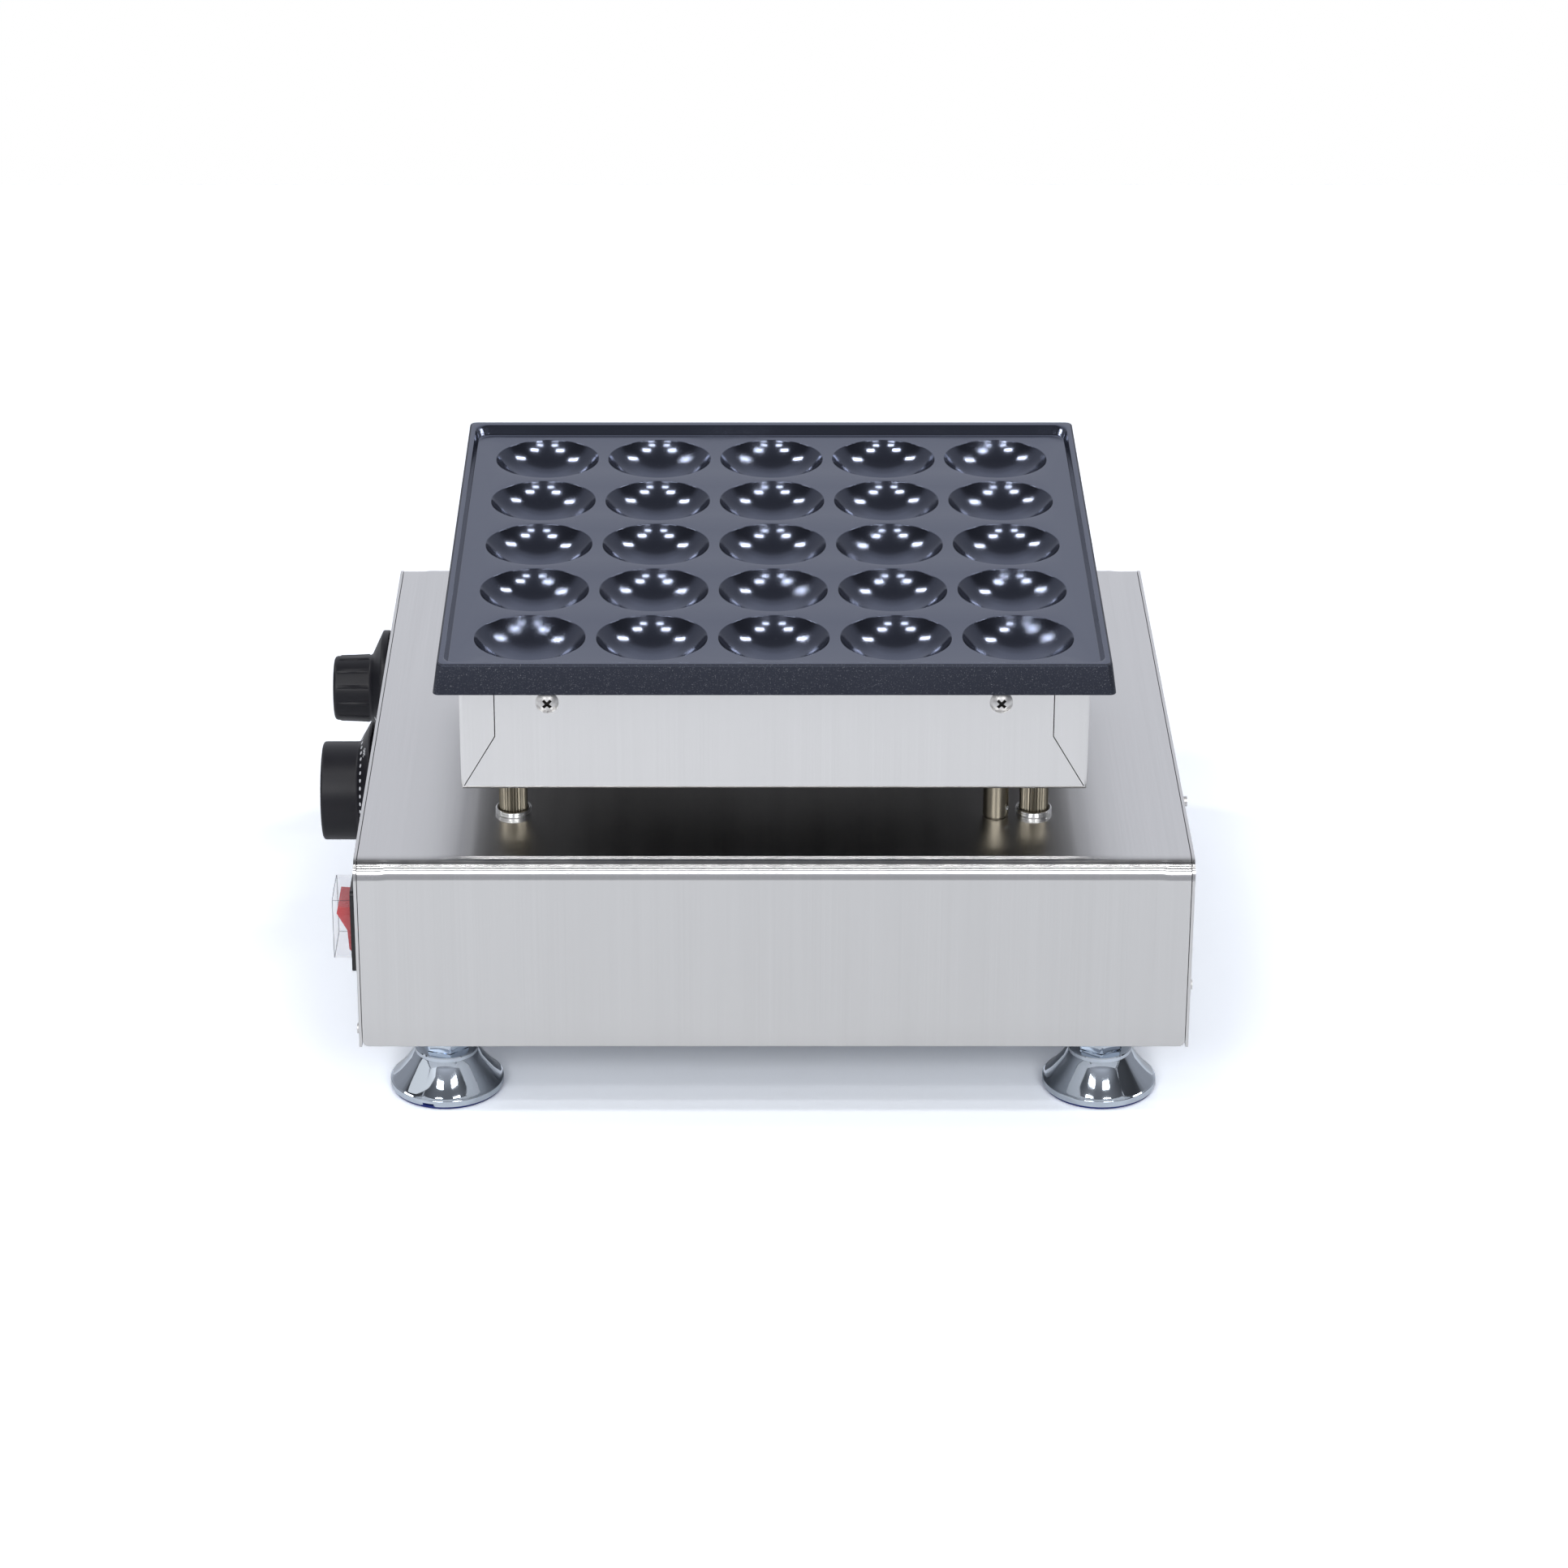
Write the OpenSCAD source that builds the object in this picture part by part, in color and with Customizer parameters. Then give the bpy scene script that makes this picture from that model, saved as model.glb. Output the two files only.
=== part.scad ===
/* [Housing] */
// Width of the housing over its two end plates
housing_w = 335; // [300:1:380]
// Depth of the housing, front to back
housing_d = 307; // [290:1:340]
// Height of the housing without its feet
housing_h = 82.5; // [78:0.5:110]
// Outer radius of the folds along the top front and top back edges
fold_r = 8; // [4:0.5:12]
// Thickness of all folded sheet
sheet = 1.2; // [1:0.1:1.5]

/* [Feet] */
// Height of the housing above the floor
foot_h = 34.5; // [30:0.5:45]
// Distance of each foot's centre from the housing's sides
foot_inset = 33; // [28:1:45]
// Outer radius of a foot's bell
bell_r = 23.4; // [20:0.2:26]
// Height of a foot's bell
bell_h = 18.3; // [16:0.1:20]

/* [Pan] */
// Outer size of the pan at the top of its rim
pan_size = 267; // [262:1:275]
// How far each side leans out towards the bottom edge
pan_draft = 1.7; // [0.5:0.1:2]
// Height of the pan's outer edge
pan_h = 12.5; // [11:0.5:16]
// Height of the rim above the plate
rim_h = 3.6; // [2:0.2:5]
// Width of the rim's top
rim_w = 2.6; // [2.2:0.1:4]
// Distance between bowl centres
bowl_pitch = 49; // [48:0.5:50]
// Diameter of a bowl at the plate
bowl_d = 45; // [40:0.5:45]
// Depth of a bowl
bowl_depth = 12; // [10:0.5:13]

/* [Tray and posts] */
// Outer size of the square tray under the pan
tray_w = 251; // [248:1:254]
// Height of the tray's walls
tray_h = 49.5; // [46:0.5:60]
// Free height between the housing and the tray
post_gap = 18.5; // [15:0.5:40]
// Diameter of a post over its knurl
post_d = 11.6; // [10:0.2:13]

/* [Controls] */
// Turned position of the thermostat knob, in degrees
thermostat_turn = 0; // [0:5:290]
// Turned position of the timer knob, in degrees
timer_turn = 0; // [0:5:300]
// Tilt of the rocker to each side of its middle
rocker_tilt = 16; // [10:1:16]

/* [Hidden] */
$fn = 64;

// Places and sizes that follow from the driving dimensions. Every piece is laid out from the
// middle of the housing, and moved so that the origin is under the middle of the whole outline.
timer_out = 25.5;
screw_out = 2;
gland_out = 19;
middle_x = (timer_out - screw_out) / 2;
middle_y = -gland_out / 2;
z_base = foot_h;
z_top = z_base + housing_h;
z_tray = z_top + post_gap;
plate_t = 5;
z_under = z_tray + tray_h;
z_plate = z_under + plate_t;
z_rim = z_plate + rim_h;
z_skirt = z_rim - pan_h;
pan_y = 2;
end_x = housing_w / 2;
cover_x = end_x - sheet;
side_y = housing_d / 2;

// Pan: the bowls are parts of spheres
bowl_rows = 5;
bowl_wall = 3;
bowl_r = (bowl_d * bowl_d / 4 + bowl_depth * bowl_depth) / (2 * bowl_depth);
bowl_top = z_plate - bowl_depth + bowl_r;
pan_corner = 2.5;
rim_run = 1.6;
back_run = 3.8;
back_w = 3.9;
skirt_w = 5;
edge_ease = 0.5;
lug_x = 90.3;
lug_z = 173.8;
lug_in = 7;
m4_r = 2;

// Tray: corner tabs
tab_w = 14.3;
tab_rise = 23.3;
seam_w = 0.4;
tray_fold = 1.6;
wall_y = tray_w / 2 - sheet;

// Posts, bolts and conduit
post_x = 105.5;
post_y = 107;
knurl_teeth = 30;
knurl_deep = 0.4;
m5_r = 2.5;
m5_hole = 2.7;
conduit_x = 90;
conduit_y = -108;
conduit_r = 5.2;
conduit_neck = 4.6;
conduit_bore = 3.8;

// Heating element: a right-angled meander in the valleys between the bowls
element_r = 4;
z_element = z_under - element_r;
valley = bowl_pitch / 2;
clamp_t = 3;
z_clamp = z_element - element_r - clamp_t;
blanket_top = z_tray + 24;
bulb_x = 1.5 * bowl_pitch;
bulb_y = -83;
bulb_r = 3;
bulb_l = 22;
z_bulb = z_element - 1;

// Controls on the left end
knob_z = 89.4;
thermostat_y = -27;
timer_y = 79;
switch_y = -130;
switch_z = 81.9;
shaft_r = 3;
shaft_play = 0.05;
shaft_flat = 2.2;
bush_r = 5;
bush_out = 3.6;
nut_t = 2.6;
knob_gap = 1;
thermostat_out = 23;
bezel_y = 30;
bezel_z = 36;
bezel_t = 2.4;
rocker_y = 18;
window_y = 19;
window_z = 26;
pivot_deep = 2;
switch_deep = 22;
body_y = 24;
body_z = 28;
lamp_y = -87;
lamp_z = [66, 90];

// Connector block on the base plate
block_x = 100;
block_y = 80;
block_w = 22;
block_step = 11;
block_port = 13;

// Cable gland on the back
gland_x = 120;
gland_z = 62;
gland_r = 8;
cable_r = 4;

// Screws of the end plates; the one that stands out is at the right front
return_w = 15;
end_w = 11;
side_screw_y = 147.5;
side_screw_z = 60;
top_screw_y = 86;
high_drop = 4.6;
low_drop = 7.5;
screw_low = 1;

// Feet: each bell has a notch in its rim, at its own angle
foot_x = end_x - foot_inset;
foot_y = side_y - foot_inset;
stud_r = 5;
stud_play = 0.05;
spigot_r = 7;
spigot_deep = 4;
collar_across = 17;
collar_h = 9.5;
notch_turn = [-107, 60, 120, 75];
z_insert = z_base + 2 * sheet;
insert_h = 16;
insert_deep = 13;
corners = [[-1, -1], [1, -1], [-1, 1], [1, 1]];

// Moves a piece from the housing's own centre to the origin of the whole part
module placed() {
    translate([middle_x, middle_y, 0]) children();
}

// Turns an outline drawn as depth and height into a length along X, centred on the origin
module along_x(length) {
    rotate([90, 0, 90])
        linear_extrude(length, center = true) children();
}

// Points a piece drawn upwards out of the left end plate, at a given depth and height
module out_left(y, z) {
    translate([-end_x, y, z])
        rotate([0, -90, 0]) children();
}

// Outline with a flat foot and two round upper corners
module round_top(width, height, radius) {
    translate([-width / 2, 0]) square([width, height - radius]);
    translate([-width / 2 + radius, 0]) square([width - 2 * radius, height]);
    for (side = [-1, 1])
        translate([side * (width / 2 - radius), height - radius]) circle(radius);
}

// Rectangle with four round corners
module round_rect(width, depth, radius) {
    square([width - 2 * radius, depth], center = true);
    square([width, depth - 2 * radius], center = true);
    for (corner = corners)
        translate([corner.x * (width / 2 - radius), corner.y * (depth / 2 - radius)])
            circle(radius);
}

// Square block with round upright corners whose sides lean
module leaning_block(low, high, height, radius) {
    hull()
        for (corner = corners)
            translate([corner.x * (low / 2 - radius), corner.y * (low / 2 - radius), 0])
                cylinder(h = height, r1 = radius, r2 = radius - (low - high) / 2, $fn = 32);
}

module hex(across, height) {
    cylinder(h = height, d = across / cos(30), $fn = 6);
}

// Low domed screw head with a cross recess, and its shank pointing down
module cross_screw(head_d, head_h, shank_r, shank_l, turn = 45) {
    ball = (head_d * head_d / 4 + head_h * head_h) / (2 * head_h);
    slot_w = head_d * 0.13;
    slot_l = head_d * 0.46;
    difference() {
        intersection() {
            translate([0, 0, head_h - ball]) sphere(ball);
            cylinder(h = head_h, d = head_d);
        }
        for (side = [0, 90])
            rotate([0, 0, turn + side])
                translate([-slot_l / 2, -slot_w / 2, head_h * 0.15])
                    cube([slot_l, slot_w, head_h]);
    }
    translate([0, 0, -shank_l]) cylinder(h = shank_l, r = shank_r);
}

// Straight-sided screw head with a cross recess, and its shank pointing down
module cheese_screw(head_d, head_h, shank_r, shank_l) {
    slot_w = 0.7;
    slot_l = head_d * 0.6;
    difference() {
        cylinder(h = head_h, d = head_d);
        for (side = [0, 90])
            rotate([0, 0, 45 + side])
                translate([-slot_l / 2, -slot_w / 2, head_h * 0.4]) cube([slot_l, slot_w, head_h]);
    }
    translate([0, 0, -shank_l]) cylinder(h = shank_l, r = shank_r);
}

// Frame whose third axis runs along a unit vector
module along(start, way) {
    first = [way.y, way.z, way.x];
    second = cross(way, first);
    multmatrix([[first.x, second.x, way.x, start.x],
                [first.y, second.y, way.y, start.y],
                [first.z, second.z, way.z, start.z],
                [0, 0, 0, 1]]) children();
}

// Round rod through points whose steps are square to each other, with bends of one radius
module bent_rod(points, radius, bend) {
    last = len(points) - 1;
    ways = [for (i = [0:last - 1]) (points[i + 1] - points[i]) / norm(points[i + 1] - points[i])];
    for (i = [0:last - 1]) {
        head = i == 0 ? 0 : bend;
        tail = i == last - 1 ? 0 : bend;
        along(points[i] + ways[i] * head, ways[i])
            cylinder(h = norm(points[i + 1] - points[i]) - head - tail, r = radius);
    }
    for (i = [1:last - 1]) {
        before = ways[i - 1];
        after = ways[i];
        centre = points[i] - before * bend + after * bend;
        up = cross(-after, before);
        multmatrix([[-after.x, before.x, up.x, centre.x],
                    [-after.y, before.y, up.y, centre.y],
                    [-after.z, before.z, up.z, centre.z],
                    [0, 0, 0, 1]])
            rotate_extrude(angle = 90)
                translate([bend, 0]) circle(radius);
    }
}

// Every bowl's centre, measured from the middle of the pan
function bowl_centres() = [
    for (row = [0:bowl_rows - 1], column = [0:bowl_rows - 1])
        [column - (bowl_rows - 1) / 2, row - (bowl_rows - 1) / 2] * bowl_pitch
];

module on_pan() {
    placed() translate([0, pan_y, 0]) children();
}

// The casting: a rimmed plate with bowls that bulge below it, a skirt all round, six bosses for
// the clamp bars and four lugs that the tray is screwed to
module pan() {
    color("#3d4048")
    on_pan()
    difference() {
        union() {
            difference() {
                translate([0, 0, z_skirt])
                    leaning_block(pan_size + 2 * pan_draft, pan_size, pan_h, pan_corner);
                translate([0, 0, z_plate]) rim_pocket();
                translate([0, 0, z_skirt - 1])
                    linear_extrude(z_under - z_skirt + 1)
                        round_rect(pan_size - 2 * skirt_w, pan_size - 2 * skirt_w, pan_corner);
            }
            bowl_backs();
            for (side = [-1, 1], row = [-1, 0, 1])
                translate([side * valley, row * bowl_pitch, z_clamp + clamp_t])
                    cylinder(h = z_under - z_clamp - clamp_t + 1, r = 4.5);
            for (corner = corners)
                translate([corner.x * lug_x - 8, corner.y * (wall_y - lug_in / 2) - lug_in / 2, lug_z - 8])
                    cube([16, lug_in, z_under - lug_z + 9]);
        }
        bowl_hollows();
        for (side = [-1, 1], row = [-1, 0, 1])
            translate([side * valley, row * bowl_pitch, z_clamp]) cylinder(h = 11, r = m4_r);
        for (corner = corners)
            translate([corner.x * lug_x, corner.y * (wall_y + 1), lug_z])
                rotate([corner.y * 90, 0, 0]) cylinder(h = 6, r = m4_r);
    }
}

// Space inside the rim. The rim's inner wall leans, and is wider at the back than elsewhere
module rim_pocket() {
    over = 1;
    top = pan_size - 2 * rim_w;
    steep = rim_run / rim_h;
    back_foot = pan_size / 2 - back_w - back_run;
    back_steep = back_run / rim_h;
    intersection() {
        leaning_block(top - 2 * rim_run, top + 2 * over * steep, rim_h + over, 6);
        along_x(pan_size)
            polygon([[-pan_size / 2, -over], [back_foot - over * back_steep, -over],
                     [back_foot + (rim_h + 2 * over) * back_steep, rim_h + 2 * over],
                     [-pan_size / 2, rim_h + 2 * over]]);
    }
}

// Round backs of the bowls, below the plate
module bowl_backs() {
    intersection() {
        for (centre = bowl_centres())
            translate([centre.x, centre.y, bowl_top]) sphere(bowl_r + bowl_wall);
        translate([-pan_size / 2, -pan_size / 2, z_plate - bowl_depth - bowl_wall - 1])
            cube([pan_size, pan_size, bowl_depth + bowl_wall]);
    }
}

// Hollows of the bowls, each with a slightly eased edge
module bowl_hollows() {
    for (centre = bowl_centres()) {
        translate([centre.x, centre.y, bowl_top]) sphere(bowl_r);
        translate([centre.x, centre.y, z_plate - edge_ease])
            cylinder(h = 2 * edge_ease, r1 = bowl_d / 2 - edge_ease, r2 = bowl_d / 2 + edge_ease);
    }
}

// Sheathed element: four legs, with both ends bent down near the conduit
module heating_element() {
    near = 1.5 * bowl_pitch;
    low = blanket_top + 8;
    color("#8f8a84")
    on_pan()
    bent_rod([
        [near, -near, low], [near, -near, z_element], [-near, -near, z_element],
        [-near, -valley, z_element], [near, -valley, z_element], [near, valley, z_element],
        [-near, valley, z_element], [-near, near, z_element], [near, near, z_element],
        [near, near, low]
    ], element_r, 9);
}

// Ceramic bead and blade on each end of the element
module element_terminals() {
    color("#efe9dc")
    on_pan()
    for (side = [-1, 1])
        translate([1.5 * bowl_pitch, side * 1.5 * bowl_pitch, blanket_top + 1]) {
            translate([0, 0, 2]) cylinder(h = 5, r = 3.4);
            translate([-0.4, -3, 0]) cube([0.8, 6, 2]);
        }
}

// Two bars that press the element against the pan
module element_clamps() {
    color("#b9bcc0")
    on_pan()
    for (side = [-1, 1])
        translate([side * valley, 0, z_clamp])
            difference() {
                linear_extrude(clamp_t) round_rect(12, 172, 5.9);
                for (row = [-1, 0, 1])
                    translate([0, row * bowl_pitch, -1]) cylinder(h = clamp_t + 2, r = m4_r);
            }
}

module clamp_screws() {
    color("#a9acb0")
    on_pan()
    for (side = [-1, 1], row = [-1, 0, 1])
        translate([side * valley, row * bowl_pitch, z_clamp]) {
            translate([0, 0, -2.8]) hex(7, 2.8);
            cylinder(h = 10, r = m4_r);
        }
}

// Box folded from one sheet: outer or inner form, with round folds
module folded_block(width, height, radius) {
    intersection() {
        linear_extrude(height) round_rect(width, width, radius);
        for (turn = [0, 90])
            rotate([0, 0, turn])
                translate([0, 0, height])
                    mirror([0, 0, 1]) along_x(width) round_top(width, height, radius);
    }
}

// Tray that carries the pan, open at the top. Its front and back flaps meet the side tabs in a seam
// that drops from the top edge and then runs out to the bottom corner
module tray() {
    color("#cfd1d4")
    on_pan()
    translate([0, 0, z_tray])
    difference() {
        folded_box(tray_w, tray_h);
        for (corner = corners) {
            translate([corner.x * lug_x, corner.y * (tray_w / 2 + 1), lug_z - z_tray])
                rotate([corner.y * 90, 0, 0]) cylinder(h = 4, r = m4_r);
            translate([corner.x * post_x, corner.y * post_y, -1]) cylinder(h = 4, r = m5_hole);
            mirror([corner.x < 0 ? 1 : 0, 0, 0]) tab_seam(corner.y);
        }
        translate([conduit_x, conduit_y - pan_y, -1]) cylinder(h = 4, r = conduit_neck);
    }
}

module folded_box(width, height) {
    difference() {
        crossed_block(width, height, tray_fold);
        translate([0, 0, sheet]) crossed_block(width - 2 * sheet, height, tray_fold - sheet);
    }
}

// Block with round upright edges and round bottom edges
module crossed_block(width, height, radius) {
    intersection() {
        linear_extrude(height) round_rect(width, width, radius);
        low_round(width, height, radius);
        rotate([0, 0, 90]) low_round(width, height, radius);
    }
}

module low_round(width, height, radius) {
    translate([0, 0, height]) mirror([0, 0, 1]) along_x(width + 2) round_top(width, height, radius);
}

// One seam, cut through the wall on the side that is given
module tab_seam(side) {
    inner = tray_w / 2 - tab_w;
    foot = tray_w / 2 - tray_fold;
    translate([0, side * (tray_w / 2 - sheet / 2), 0])
        rotate([90, 0, 0])
            linear_extrude(sheet + 2, center = true)
                polygon([[inner, tray_h + 1], [inner, tab_rise], [foot, tray_fold],
                         [foot + seam_w, tray_fold], [inner + seam_w, tab_rise + seam_w / 2],
                         [inner + seam_w, tray_h + 1]]);
}

// Blanket that keeps the heat away from the tray's floor
module insulation() {
    gap = 1.5;
    width = tray_w - 2 * sheet - 2 * gap;
    color("#e9e4d6")
    on_pan()
    translate([0, 0, z_tray + sheet])
    difference() {
        linear_extrude(blanket_top - z_tray - sheet) round_rect(width, width, 3);
        for (corner = corners)
            translate([corner.x * post_x, corner.y * post_y, -1]) cylinder(h = 30, r = 8);
        translate([conduit_x, conduit_y - pan_y, -1]) cylinder(h = 30, r = 12);
    }
}

module tray_screws() {
    color("#d9dadc")
    on_pan()
    for (corner = corners)
        translate([corner.x * lug_x, corner.y * tray_w / 2, lug_z])
            rotate([corner.y * -90, 0, 0]) cross_screw(9.3, 2, m4_r, 6);
}

function knurl(teeth, outer, deep) = [
    for (i = [0:2 * teeth - 1])
        let (radius = outer - (i % 2) * deep, angle = i * 180 / teeth)
            [radius * cos(angle), radius * sin(angle)]
];

// Four straight-knurled columns between the housing and the tray
module posts() {
    color("#bdb5a4")
    on_pan()
    for (corner = corners)
        translate([corner.x * post_x, corner.y * post_y, z_top])
            difference() {
                linear_extrude(post_gap) polygon(knurl(knurl_teeth, post_d / 2, knurl_deep));
                translate([0, 0, -1]) cylinder(h = post_gap + 2, r = m5_hole);
            }
}

// Bright ring of two turns round the foot of each post
module post_eyelets() {
    wire = 0.6;
    reach = 0.9;
    color("#dcdcdc")
    on_pan()
    for (corner = corners)
        translate([corner.x * post_x, corner.y * post_y, z_top])
            rotate_extrude() {
                for (level = [wire, 2.8 * wire])
                    translate([post_d / 2 + reach, level]) circle(wire, $fn = 32);
                translate([post_d / 2, 0]) square([reach, 0.4]);
            }
}

module post_bolts() {
    bolt_end = z_top - sheet - 7;
    color("#a9acb0")
    on_pan()
    for (corner = corners)
        translate([corner.x * post_x, corner.y * post_y, 0]) {
            translate([0, 0, z_tray + sheet]) hex(8, 3.5);
            translate([0, 0, bolt_end]) cylinder(h = z_tray + sheet - bolt_end, r = m5_r);
        }
}

module post_nuts() {
    color("#a9acb0")
    on_pan()
    for (corner = corners)
        translate([corner.x * post_x, corner.y * post_y, z_top - sheet - 4])
            difference() {
                hex(8, 4);
                translate([0, 0, -1]) cylinder(h = 6, r = m5_r);
            }
}

// Sleeve between the housing and the tray, on a tube that takes the wires and the capillary up
module conduit() {
    ease = 0.8;
    color("#c2bbab")
    placed()
    translate([conduit_x, conduit_y, z_top])
        difference() {
            union() {
                rotate_extrude()
                    polygon([[0, 0], [conduit_r - ease, 0], [conduit_r - 0.2, 0.3], [conduit_r, ease],
                             [conduit_r, post_gap], [0, post_gap]]);
                translate([0, 0, -12]) cylinder(h = post_gap + 22, r = conduit_neck);
            }
            translate([0, 0, -13]) cylinder(h = post_gap + 24, r = conduit_bore);
            set_screw_place() cylinder(h = 3, r = 0.9);
        }
}

// Where the set screw goes through the sleeve, seen from the sleeve's foot
module set_screw_place() {
    rotate([0, 0, -35])
        translate([conduit_bore - 1, 0, 4.4])
            rotate([0, 90, 0]) children();
}

module set_screw() {
    color("#8c8f94")
    placed()
    translate([conduit_x, conduit_y, z_top])
        set_screw_place()
            translate([0, 0, 1.1])
                difference() {
                    cylinder(h = 1.6, r = 0.9);
                    translate([0, 0, 1.5]) cube([0.3, 3, 0.8], center = true);
                }
}

module conduit_nuts() {
    color("#a9acb0")
    placed()
    for (level = [z_top - sheet - 4, z_tray + sheet])
        translate([conduit_x, conduit_y, level])
            difference() {
                hex(13, 4);
                translate([0, 0, -1]) cylinder(h = 6, r = conduit_neck);
            }
}

// Front, top and back folded from one sheet, with returns along the bottom and at both ends
module housing_cover() {
    color("#c9cacc")
    placed()
    difference() {
        union() {
            translate([0, 0, z_base])
                difference() {
                    along_x(2 * cover_x) round_top(housing_d, housing_h, fold_r);
                    along_x(2 * cover_x + 2)
                        translate([0, -1])
                            round_top(housing_d - 2 * sheet, housing_h - sheet + 1, fold_r - sheet);
                }
            for (side = [-1, 1]) {
                translate([0, side * (side_y - return_w / 2), z_base + sheet / 2])
                    cube([2 * cover_x, return_w, sheet], center = true);
                translate([side * (cover_x - sheet / 2), 0, z_base]) end_return();
            }
        }
        for (corner = corners)
            translate([corner.x * post_x, corner.y * post_y + pan_y, z_top - 3])
                cylinder(h = 6, r = m5_hole);
        translate([conduit_x, conduit_y, z_top - 3]) cylinder(h = 6, r = conduit_neck);
        translate([gland_x, side_y - 3, gland_z]) rotate([-90, 0, 0]) cylinder(h = 6, r = gland_r);
        panel_screw_holes(8);
        base_screw_holes();
    }
}

// Narrow frame at each end that the end plate is screwed to
module end_return() {
    along_x(sheet)
        difference() {
            round_top(housing_d - sheet, housing_h - sheet / 2, fold_r - sheet / 2);
            translate([0, -1])
                round_top(housing_d - 2 * end_w, housing_h - end_w + 1, 4);
        }
}

// Where the screws of the end plates are: side, depth, height, and height of the head
function panel_screw_spots() = [
    [1, -top_screw_y, z_top - high_drop, screw_out], [1, top_screw_y, z_top - low_drop, screw_low],
    [-1, -72, z_top - low_drop, screw_low], [-1, 130, z_top - low_drop, screw_low],
    [1, -side_screw_y, side_screw_z, screw_low], [1, side_screw_y, side_screw_z, screw_low],
    [-1, -side_screw_y, side_screw_z - 20, screw_low], [-1, side_screw_y, side_screw_z - 20, screw_low]
];

module panel_screw_holes(length) {
    for (spot = panel_screw_spots())
        translate([spot[0] * end_x, spot[1], spot[2]])
            rotate([0, 90, 0]) cylinder(h = length, r = 1.5, center = true);
}

module panel_screws() {
    color("#c4c6c9")
    placed()
    for (spot = panel_screw_spots())
        translate([spot[0] * end_x, spot[1], spot[2]])
            rotate([0, spot[0] * 90, 0]) cheese_screw(4.2, spot[3], 1.5, 6);
}

module end_plate() {
    along_x(sheet) round_top(housing_d, housing_h, fold_r);
}

// Left end plate with its openings for the controls
module control_panel() {
    color("#c9cacc")
    placed()
    difference() {
        translate([-end_x + sheet / 2, 0, z_base]) end_plate();
        panel_screw_holes(8);
        for (y = [thermostat_y, timer_y])
            out_left(y, knob_z) cylinder(h = 8, r = bush_r, center = true);
        out_left(switch_y, switch_z) cube([body_z, body_y, 8], center = true);
        for (z = lamp_z)
            out_left(lamp_y, z) cylinder(h = 8, r = 4, center = true);
    }
}

module right_panel() {
    color("#c9cacc")
    placed()
    difference() {
        translate([end_x - sheet / 2, 0, z_base]) end_plate();
        panel_screw_holes(8);
    }
}

function base_screw_spots() = [for (x = [-120, 0, 120], side = [-1, 1]) [x, side * (side_y - 8)]];

module base_screw_holes() {
    for (spot = base_screw_spots())
        translate([spot.x, spot.y, z_base - 1]) cylinder(h = 6, r = 1.5);
}

// Bottom plate, lying on the cover's returns, with two rows of cooling slots
module base_plate() {
    play = 0.3;
    slot = [36, 4];
    color("#b4b6b9")
    placed()
    difference() {
        translate([0, 0, z_base + 1.5 * sheet])
            cube([2 * (cover_x - sheet - play), housing_d - 2 * sheet - 2 * play, sheet], center = true);
        for (side = [-1, 1], i = [-4:4])
            translate([side * 45, i * 12, z_base])
                linear_extrude(6) round_rect(slot.x, slot.y, slot.y / 2 - 0.1);
        for (corner = corners)
            translate([corner.x * foot_x, corner.y * foot_y, z_base]) cylinder(h = 6, r = stud_r + 0.4);
        base_screw_holes();
    }
}

module base_screws() {
    color("#a9acb0")
    placed()
    for (spot = base_screw_spots())
        translate([spot.x, spot.y, z_base])
            mirror([0, 0, 1]) cross_screw(5.5, 1.6, 1.5, 4);
}

// Blind threaded inserts that the studs of the feet screw into
module foot_inserts() {
    color("#a9acb0")
    placed()
    for (corner = corners)
        translate([corner.x * foot_x, corner.y * foot_y, z_insert])
            difference() {
                hex(17, insert_h);
                translate([0, 0, -1]) cylinder(h = insert_deep + 1, r = stud_r + stud_play);
            }
}

module at_foot(number) {
    corner = corners[number - 1];
    placed() translate([corner.x * foot_x, corner.y * foot_y, 0]) children();
}

// Pressed bell: flat rim with a notch, straight flank and a rounded lip that the collar sits on
module foot_bell(number) {
    rim_z = 1.2;
    neck_r = 12.6;
    lip_r = 2.3;
    notch = [2, 5];
    color("#d8dade")
    at_foot(number)
        difference() {
            rotate_extrude()
                polygon(concat([[0, 8.5], [10, 8.5], [20.5, rim_z], [bell_r, rim_z], [bell_r, 2.3],
                                [bell_r - 0.3, 2.9], [bell_r - 0.9, 3.4], [bell_r - 1.5, 3.9],
                                [bell_r - 2.1, 4.6], [neck_r + 0.8, bell_h - 4.8],
                                [neck_r + 0.3, bell_h - 4], [neck_r, bell_h - 3.1]],
                               [for (a = [0:30:90])
                                   [neck_r - lip_r + lip_r * cos(a), bell_h - lip_r + lip_r * sin(a)]],
                               [[spigot_r, bell_h], [spigot_r, bell_h - spigot_deep],
                                [0, bell_h - spigot_deep]]));
            rotate([0, 0, notch_turn[number - 1]])
                translate([bell_r - notch.x, -notch.y / 2, 0]) cube([notch.x + 1, notch.y, 2.6]);
        }
}

// Hexagon collar with its corners turned off, on a spigot below and with the stud above
module foot_stud(number) {
    ease = 1;
    round_r = collar_across / 2;
    corner_r = collar_across / 2 / cos(30);
    color("#cfd1d4")
    at_foot(number) {
        translate([0, 0, bell_h - spigot_deep]) cylinder(h = spigot_deep, r = spigot_r);
        translate([0, 0, bell_h])
            intersection() {
                hex(collar_across, collar_h);
                rotate_extrude()
                    polygon([[0, 0], [round_r, 0], [corner_r, ease], [corner_r, collar_h - ease],
                             [round_r, collar_h], [0, collar_h]]);
            }
        translate([0, 0, bell_h]) cylinder(h = z_insert + insert_deep - 0.3 - bell_h, r = stud_r);
    }
}

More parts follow.
